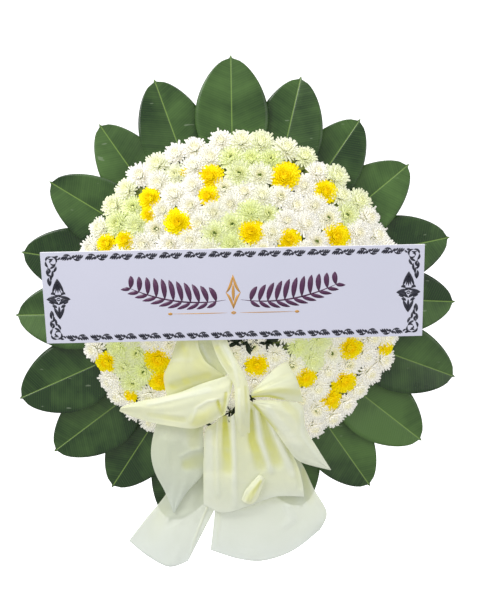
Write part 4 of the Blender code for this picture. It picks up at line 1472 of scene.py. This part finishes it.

# %% [markdown]
# ## The stretches of ribbon
# Each stretch is drawn as a few rows of points across the cloth, from the knot outwards, as they are seen
# from the front, and the points are moved along the line of sight to their own depth. A smooth surface runs
# through them. Folds are added on top. Each is a line of points with a width at both ends, how far it
# pushes the cloth out or in, and how much it changes the colour: a positive amount deepens and yellows the
# valley, partly as doubled cloth and partly as painted shade, and a negative amount pales the ridge as
# painted highlight. The cut is the share of the flat rectangle that the cloth is taken to fill: about a half
# where it runs to a point or is gathered tight, more where it only narrows. It is a choice made for each
# stretch.

# %% Ribbon stretches
RIBBON_THICK = 0.35 * MM
SIGHT_DROP = 0.07  # how much the line of sight falls for each metre of depth
RIBBON_STEPS = 12  # grid steps between two drawn rows or columns
RIBBONS = [
    {
        "name": "bow_loop_upper_left",
        "flat": (0.12, 0.15),
        "cut": 0.66,
        "layers": 0.45,
        "cloth": doubled_cloth,
        "rows": [
            [(-112, -58, -132), (-100, -58, -142), (-88, -58, -142), (-74, -58, -138)],
            [(-124, -90, -128), (-108, -90, -144), (-94, -90, -145), (-80, -92, -142)],
            [(-136, -126, -121), (-112, -124, -139), (-90, -122, -143), (-68, -124, -141)],
            [(-149, -156, -114), (-118, -150, -134), (-84, -144, -140), (-48, -142, -139)],
            [(-147, -180, -110), (-112, -172, -126), (-72, -160, -132), (-30, -154, -134)],
            [(-142, -198, -110), (-104, -188, -116), (-62, -174, -123), (-20, -160, -127)],
        ],
        "folds": [
            ([(-142, -126), (-96, -124)], 3, 6, 1.5, -0.2),
            ([(-130, -176), (-60, -156)], 9, 7, -3.0, 0.3),
            ([(-84, -92), (-66, -126), (-40, -146)], 3, 3, 2.0, -0.2),
            ([(-116, -96), (-104, -116)], 9, 9, 0.0, 0.2),
        ],
    },
    {
        "name": "bow_loop_upper_left_inside",
        "flat": (0.09, 0.10),
        "cut": 0.5,
        "layers": 0.35,
        "cloth": single_cloth,
        "rows": [
            [(-95, -58, -135), (-75, -58, -134), (-62, -58, -135), (-50, -58, -138)],
            [(-95, -92, -133), (-76, -92, -132), (-62, -90, -133), (-46, -90, -137)],
            [(-88, -120, -131), (-66, -120, -130), (-52, -118, -131), (-36, -116, -136)],
            [(-70, -142, -129), (-52, -140, -128), (-42, -138, -130), (-28, -136, -135)],
            [(-50, -160, -127), (-38, -158, -127), (-30, -156, -129), (-18, -152, -132)],
        ],
        "folds": [
            ([(-62, -88), (-44, -124), (-29, -150)], 4, 6, -4.0, 0.0),
            ([(-74, -96), (-56, -130)], 4, 4, 3.0, -0.35),
        ],
    },
    {
        "name": "bow_loop_left",
        "flat": (0.10, 0.42),
        "cut": 0.5,
        "layers": 0.15,
        "cloth": doubled_cloth,
        "rows": [
            [(-8, -152, -136), (-12, -176, -140), (-18, -206, -138), (-26, -236, -132)],
            [(-36, -161, -136), (-40, -186, -142), (-46, -216, -139), (-52, -250, -128)],
            [(-76, -174, -131), (-80, -196, -137), (-84, -226, -133), (-88, -264, -121)],
            [(-116, -190, -123), (-120, -206, -128), (-124, -232, -124), (-130, -260, -114)],
            [(-160, -201, -111), (-164, -214, -116), (-168, -230, -112), (-174, -252, -102)],
            [(-200, -209, -100), (-204, -216, -106), (-208, -224, -104), (-212, -240, -92)],
            [(-236, -221, -86), (-237, -223, -88), (-238, -225, -87), (-239, -228, -84)],
            [(-196, -211, -86), (-200, -216, -84), (-204, -224, -82), (-208, -236, -80)],
            [(-120, -196, -104), (-124, -208, -100), (-128, -228, -96), (-132, -250, -96)],
            [(-60, -180, -116), (-64, -200, -110), (-68, -222, -108), (-72, -246, -106)],
        ],
        "folds": [
            ([(-84, -248), (-62, -240), (-40, -222)], 14, 12, 4.0, 0.42),
            ([(-94, -250), (-84, -222), (-60, -208), (-40, -205)], 3, 3, 2.5, -0.2),
            ([(-41, -208), (-33, -234)], 3, 4, -7.0, 0.7),
            ([(-24, -192), (-30, -240)], 3, 4, -4.0, 0.6),
            ([(-60, -186), (-180, -214)], 6, 5, 2.0, -0.2),
            ([(-110, -246), (-180, -236)], 6, 5, -2.5, 0.25),
            ([(-8, -160), (-14, -190)], 4, 4, -3.0, 0.5),
        ],
    },
    {
        "name": "bow_loop_right",
        "flat": (0.08, 0.22),
        "cut": 0.5,
        "layers": 0.15,
        "cloth": doubled_cloth,
        "rows": [
            [(25, -192, -132), (26, -195, -134), (27, -198, -134), (28, -201, -132)],
            [(48, -168, -130), (52, -180, -136), (55, -190, -136), (58, -200, -128)],
            [(74, -142, -126), (80, -162, -134), (86, -184, -136), (88, -205, -122)],
            [(96, -129, -118), (106, -152, -124), (114, -180, -126), (118, -209, -112)],
            [(98, -134, -112), (114, -156, -116), (124, -182, -114), (131, -210, -106)],
            [(88, -144, -104), (100, -162, -104), (108, -184, -102), (112, -204, -100)],
            [(60, -168, -110), (66, -180, -108), (70, -190, -108), (74, -200, -106)],
        ],
        "folds": [
            ([(34, -192), (80, -186), (122, -190)], 4, 8, 3.0, 0.4),
            ([(34, -188), (100, -156)], 3, 7, -3.0, 0.1),
            ([(30, -200), (64, -198), (90, -205)], 3, 4, -4.0, 0.9),
        ],
    },
    {
        "name": "bow_centre_band",
        "flat": (0.05, 0.26),
        "cut": 0.65,
        "layers": 0.2,
        "cloth": doubled_cloth,
        "rows": [
            [(-58, -58, -144), (-46, -58, -146), (-36, -58, -146), (-26, -58, -144)],
            [(-52, -90, -144), (-42, -90, -147), (-32, -90, -147), (-20, -90, -144)],
            [(-38, -126, -144), (-28, -126, -148), (-16, -126, -149), (-4, -124, -145)],
            [(-22, -152, -144), (-10, -152, -149), (2, -152, -151), (12, -152, -145)],
            [(-8, -176, -143), (2, -176, -149), (12, -176, -150), (20, -176, -144)],
            [(-7, -198, -142), (4, -198, -149), (14, -198, -149), (23, -198, -143)],
            [(-6, -218, -138), (4, -218, -146), (16, -218, -146), (25, -218, -138)],
            [(-6, -238, -129), (4, -240, -136), (15, -240, -136), (24, -238, -128)],
            [(-6, -262, -114), (4, -266, -119), (15, -266, -118), (24, -262, -112)],
            [(-4, -292, -98), (6, -296, -101), (16, -296, -100), (26, -292, -97)],
        ],
        "folds": [
            ([(-26, -96), (-8, -132), (0, -176)], 4, 4, 3.0, -0.2),
            ([(-42, -100), (-16, -146)], 6, 6, -2.5, 0.35),
            ([(15, -180), (18, -230)], 3, 3, -2.0, 0.3),
            ([(2, -186), (2, -240)], 3, 3, 2.0, -0.2),
        ],
    },
    {
        "name": "bow_tail_right",
        "flat": (0.09, 0.19),
        "cut": 0.5,
        "layers": 0.15,
        "cloth": doubled_cloth,
        "rows": [
            [(28, -214, -130), (30, -212, -132), (32, -210, -132), (34, -206, -130)],
            [(50, -238, -122), (60, -228, -130), (72, -216, -130), (84, -207, -122)],
            [(76, -270, -114), (92, -256, -120), (110, -238, -120), (128, -216, -108)],
            [(100, -304, -104), (114, -290, -110), (126, -274, -110), (136, -262, -100)],
            [(126, -332, -96), (138, -322, -100), (150, -310, -100), (158, -300, -94)],
            [(186, -349, -88), (187, -349, -89), (187.5, -349, -89), (188, -348, -88)],
        ],
        "folds": [
            ([(33, -218), (48, -238), (72, -268)], 4, 8, -5.0, 0.95),
            ([(60, -222), (120, -300)], 5, 12, 3.0, -0.2),
            ([(96, -214), (126, -246)], 8, 10, -2.5, 0.25),
            ([(128, -230), (132, -280), (160, -322)], 4, 4, 2.0, -0.2),
        ],
    },
    {
        "name": "bow_tail_centre_front",
        "flat": (0.20, 0.23),
        "cut": 0.63,
        "layers": 0.35,
        "cloth": doubled_cloth,
        "rows": [
            [(-30, -232, -124), (-16, -240, -126), (2, -224, -130), (20, -210, -131), (34, -212, -126)],
            [(-46, -252, -112), (-22, -256, -119), (6, -248, -123), (30, -242, -121), (54, -238, -115)],
            [(-66, -268, -104), (-36, -274, -110), (4, -276, -113), (42, -270, -112), (76, -264, -106)],
            [(-70, -330, -96), (-36, -332, -102), (8, -334, -106), (58, -328, -100), (114, -324, -90)],
            [(-70, -382, -92), (-36, -388, -97), (4, -390, -99), (66, -380, -96), (130, -372, -86)],
            [(-70, -420, -88), (-30, -438, -90), (20, -424, -94), (76, -404, -92), (134, -404, -82)],
        ],
        "folds": [
            ([(-59, -272), (-58, -400)], 8, 10, 2.0, -0.35),
            ([(-42, -246), (-43, -300), (-40, -400)], 2, 5, 4.0, -0.2),
            ([(-27, -236), (-24, -290), (-21, -345)], 4, 12, -10.0, 0.85),
            ([(-10, -240), (-8, -330), (-6, -420)], 4, 7, 6.0, -0.45),
            ([(10, -262), (14, -400)], 7, 14, -2.0, 0.0),
            ([(25, -228), (28, -286), (46, -340)], 4, 12, -11.0, 0.9),
            ([(36, -228), (46, -290), (66, -350)], 3, 7, 6.0, -0.45),
            ([(48, -234), (61, -285), (79, -334)], 4, 12, -10.0, 0.75),
            ([(62, -244), (84, -296), (110, -356)], 3, 9, 6.0, -0.45),
            ([(100, -306), (116, -340), (126, -384)], 4, 5, -5.0, 0.3),
        ],
    },
    {
        "name": "bow_tail_centre_back",
        "flat": (0.23, 0.28),
        "cut": 0.71,
        "layers": 0.1,
        "cloth": single_cloth,
        "rows": [
            [(-36, -262, -92), (-10, -262, -94), (14, -262, -94), (38, -262, -92), (60, -262, -90)],
            [(-44, -330, -80), (0, -332, -84), (40, -330, -84), (84, -328, -80), (122, -325, -76)],
            [(-45, -400, -76), (4, -402, -80), (56, -400, -81), (108, -395, -78), (154, -388, -71)],
            [(-50, -462, -73), (4, -468, -78), (60, -470, -79), (126, -460, -76), (180, -436, -70)],
            [(-56, -514, -70), (0, -532, -74), (52, -536, -76), (112, -515, -74), (167, -472, -68)],
        ],
        "folds": [
            ([(132, -350), (146, -410)], 6, 10, -4.0, 0.5),
            ([(98, -424), (112, -450), (94, -466)], 9, 6, 4.0, -0.2),
            ([(10, -420), (60, -404), (110, -414)], 10, 10, -3.0, 0.3),
            ([(-38, -430), (-43, -506)], 4, 4, 2.0, 0.3),
        ],
    },
    {
        "name": "bow_tail_left",
        "flat": (0.12, 0.20),
        "cut": 0.7,
        "layers": 0.1,
        "cloth": single_cloth,
        "rows": [
            [(-160, -244, -84), (-130, -246, -94), (-100, -248, -98), (-70, -246, -98)],
            [(-171, -276, -78), (-138, -278, -90), (-104, -278, -96), (-70, -278, -96)],
            [(-176, -316, -76), (-140, -318, -86), (-104, -318, -91), (-70, -318, -90)],
            [(-168, -354, -75), (-138, -356, -84), (-104, -358, -87), (-72, -358, -84)],
            [(-148, -394, -75), (-136, -396, -80), (-118, -398, -80), (-103, -394, -77)],
            [(-131, -437, -74), (-130.5, -437, -75), (-130, -437, -75), (-129.5, -437, -74)],
        ],
        "folds": [
            ([(-117, -322), (-96, -310), (-72, -305)], 2.5, 3.5, 4.0, -0.1),
            ([(-104, -338), (-76, -330)], 11, 16, -4.0, 0.7),
            ([(-88, -256), (-88, -296)], 16, 12, -4.0, 0.5),
            ([(-150, -290), (-140, -370)], 10, 8, 3.0, 0.0),
        ],
    },
    {
        "name": "bow_tail_lower_left",
        "flat": (0.14, 0.21),
        "cut": 0.69,
        "layers": 0.0,
        "cloth": single_cloth,
        "rows": [
            [(-112, -346, -60), (-86, -350, -66), (-58, -352, -66), (-32, -354, -62)],
            [(-150, -404, -60), (-112, -410, -68), (-76, -414, -68), (-44, -418, -64)],
            [(-188, -450, -60), (-146, -462, -67), (-104, -470, -69), (-66, -466, -64)],
            [(-222, -495, -61), (-182, -528, -65), (-140, -549, -67), (-102, -537, -64)],
        ],
        "folds": [
            ([(-60, -420), (-84, -480), (-98, -524)], 2, 2.5, 3.0, 0.4),
            ([(-140, -446), (-92, -438)], 8, 6, 3.0, 0.0),
            ([(-150, -430), (-176, -490)], 12, 16, -3.0, 0.2),
        ],
    },
    {
        "name": "bow_hem_curl",
        "flat": (0.026, 0.068),
        "cut": 1.0,
        "layers": 0.1,
        "cloth": doubled_cloth,
        "rows": [
            [(42, -359, -105), (46, -360, -109), (51, -363, -109), (55, -367, -105)],
            [(29, -373, -104), (34, -377, -108), (42, -384, -108), (47, -389, -104)],
            [(15, -390, -101), (21, -396, -105), (31, -405, -105), (38, -410, -101)],
            [(7, -410, -98), (12, -415, -101), (20, -419, -101), (28, -419, -98)],
        ],
        "folds": [([(46, -372), (22, -408)], 3, 7, 2.0, 0.55)],
    },
]
STANDS_FOR = {facts["name"]: [facts["name"]] for facts in RIBBONS if facts["name"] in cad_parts}


def smooth(points, where):
    """A Catmull-Rom curve through points, read at 0..1."""
    spot = min(where, 0.99999) * (len(points) - 1)
    first = int(spot)
    t = spot - first
    a, b, c, d = (points[min(max(first + k, 0), len(points) - 1)] for k in (-1, 0, 1, 2))
    return 0.5 * (2 * b + (c - a) * t + (2 * a - 5 * b + 4 * c - d) * t * t + (3 * b - a - 3 * c + d) * t**3)


def along_sight(x, z, y):
    """A point seen in front view at x and z, in millimetres, moved to its own depth."""
    near = y * MM - VIEW_PLANE
    spread = 1 + near / VIEW_DISTANCE
    return Vector((x * MM * spread, y * MM, z * MM * spread - near * SIGHT_DROP))


FOLD_FADE = 0.4  # share of its strength that a fold has lost at its far end
PUSH_SHARE = 0.6  # share of each listed push that is used
FOLD_EDGE = 3.2  # a high number gives a fold a flat top and sharp sides


def fold_at(folds, x, z):
    """How far the folds push the cloth out at a point seen from the front, and how much painted shade they
    put into it, negative for painted highlight.
    """
    out, deep = 0.0, 0.0
    for line, first, last, push, painted_light in folds:
        best = None
        for k in range(len(line) - 1):
            (ax, az), (bx, bz) = line[k], line[k + 1]
            dx, dz = bx - ax, bz - az
            share = min(max(((x - ax) * dx + (z - az) * dz) / (dx * dx + dz * dz), 0.0), 1.0)
            off = sqrt((x - ax - dx * share) ** 2 + (z - az - dz * share) ** 2)
            if best is None or off < best[0]:
                best = (off, (k + share) / (len(line) - 1))
        off, share = best
        width = first + (last - first) * share
        strength = float(np.exp(-((off / width) ** FOLD_EDGE))) * (1 - FOLD_FADE * share**2)
        out += PUSH_SHARE * push * strength
        deep += painted_light * strength
    return out, deep


def make_ribbon(name, rows, folds, flat, cut, layers, cloth):
    rng = np.random.default_rng(len(name) + len(rows))
    bm = bmesh.new()
    doubling_and_painted_light_layer = bm.verts.layers.float.new("doubling_and_painted_light")
    hem_layer = bm.verts.layers.float.new("hem")
    drawn = np.array(rows, float)
    steps = RIBBON_STEPS * (len(rows) - 1)
    columns = RIBBON_STEPS * 2 * (len(rows[0]) - 1)
    wave_turn = rng.uniform(0, 2 * pi, 4)
    grid = []
    for i in range(steps + 1):
        share = i / steps
        across_row = np.array([smooth(drawn[:, c], share) for c in range(drawn.shape[1])])
        row = []
        for k in range(columns + 1):
            across = 2 * k / columns - 1
            x, z, y = smooth(across_row, k / columns)
            out, deep = fold_at(folds, x, z)
            out += 0.6 * sin(7 * across + 5 * share + wave_turn[0]) * sin(6 * share + wave_turn[1])
            out += 0.4 * sin(13 * across - 8 * share + wave_turn[2]) * sin(11 * share + wave_turn[3])
            vert = bm.verts.new(along_sight(x, z, y - out))
            # colour depth: doubled cloth, plus the folds' painted shade in valleys and painted highlight on
            # ridges
            vert[doubling_and_painted_light_layer] = min(max(layers + deep, 0.0), 1.0)
            vert[hem_layer] = share**2 if "tail" in name else 0.0
            row.append(vert)
        grid.append(row)
    for low, high in zip(grid, grid[1:]):
        for k in range(columns):
            bm.faces.new((low[k], high[k], high[k + 1], low[k + 1]))
    bmesh.ops.recalc_face_normals(bm, faces=bm.faces)
    area = sum(face.calc_area() for face in bm.faces)
    sheet = object_from(bm, name + "_cloth", cloth)
    wall = sheet.modifiers.new("cloth thickness", "SOLIDIFY")
    wall.thickness = RIBBON_THICK
    wall.offset = 0.0
    piece(sheet, "ribbon", *STANDS_FOR.get(name, []))
    return sheet


for facts in RIBBONS:
    make_ribbon(**facts)

# %% Sizes and finish
low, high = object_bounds()
print("cad box", [round(v, 3) for v in (*cad_low, *cad_high)])
print("visual box", [round(v, 3) for v in (*low, *high)])
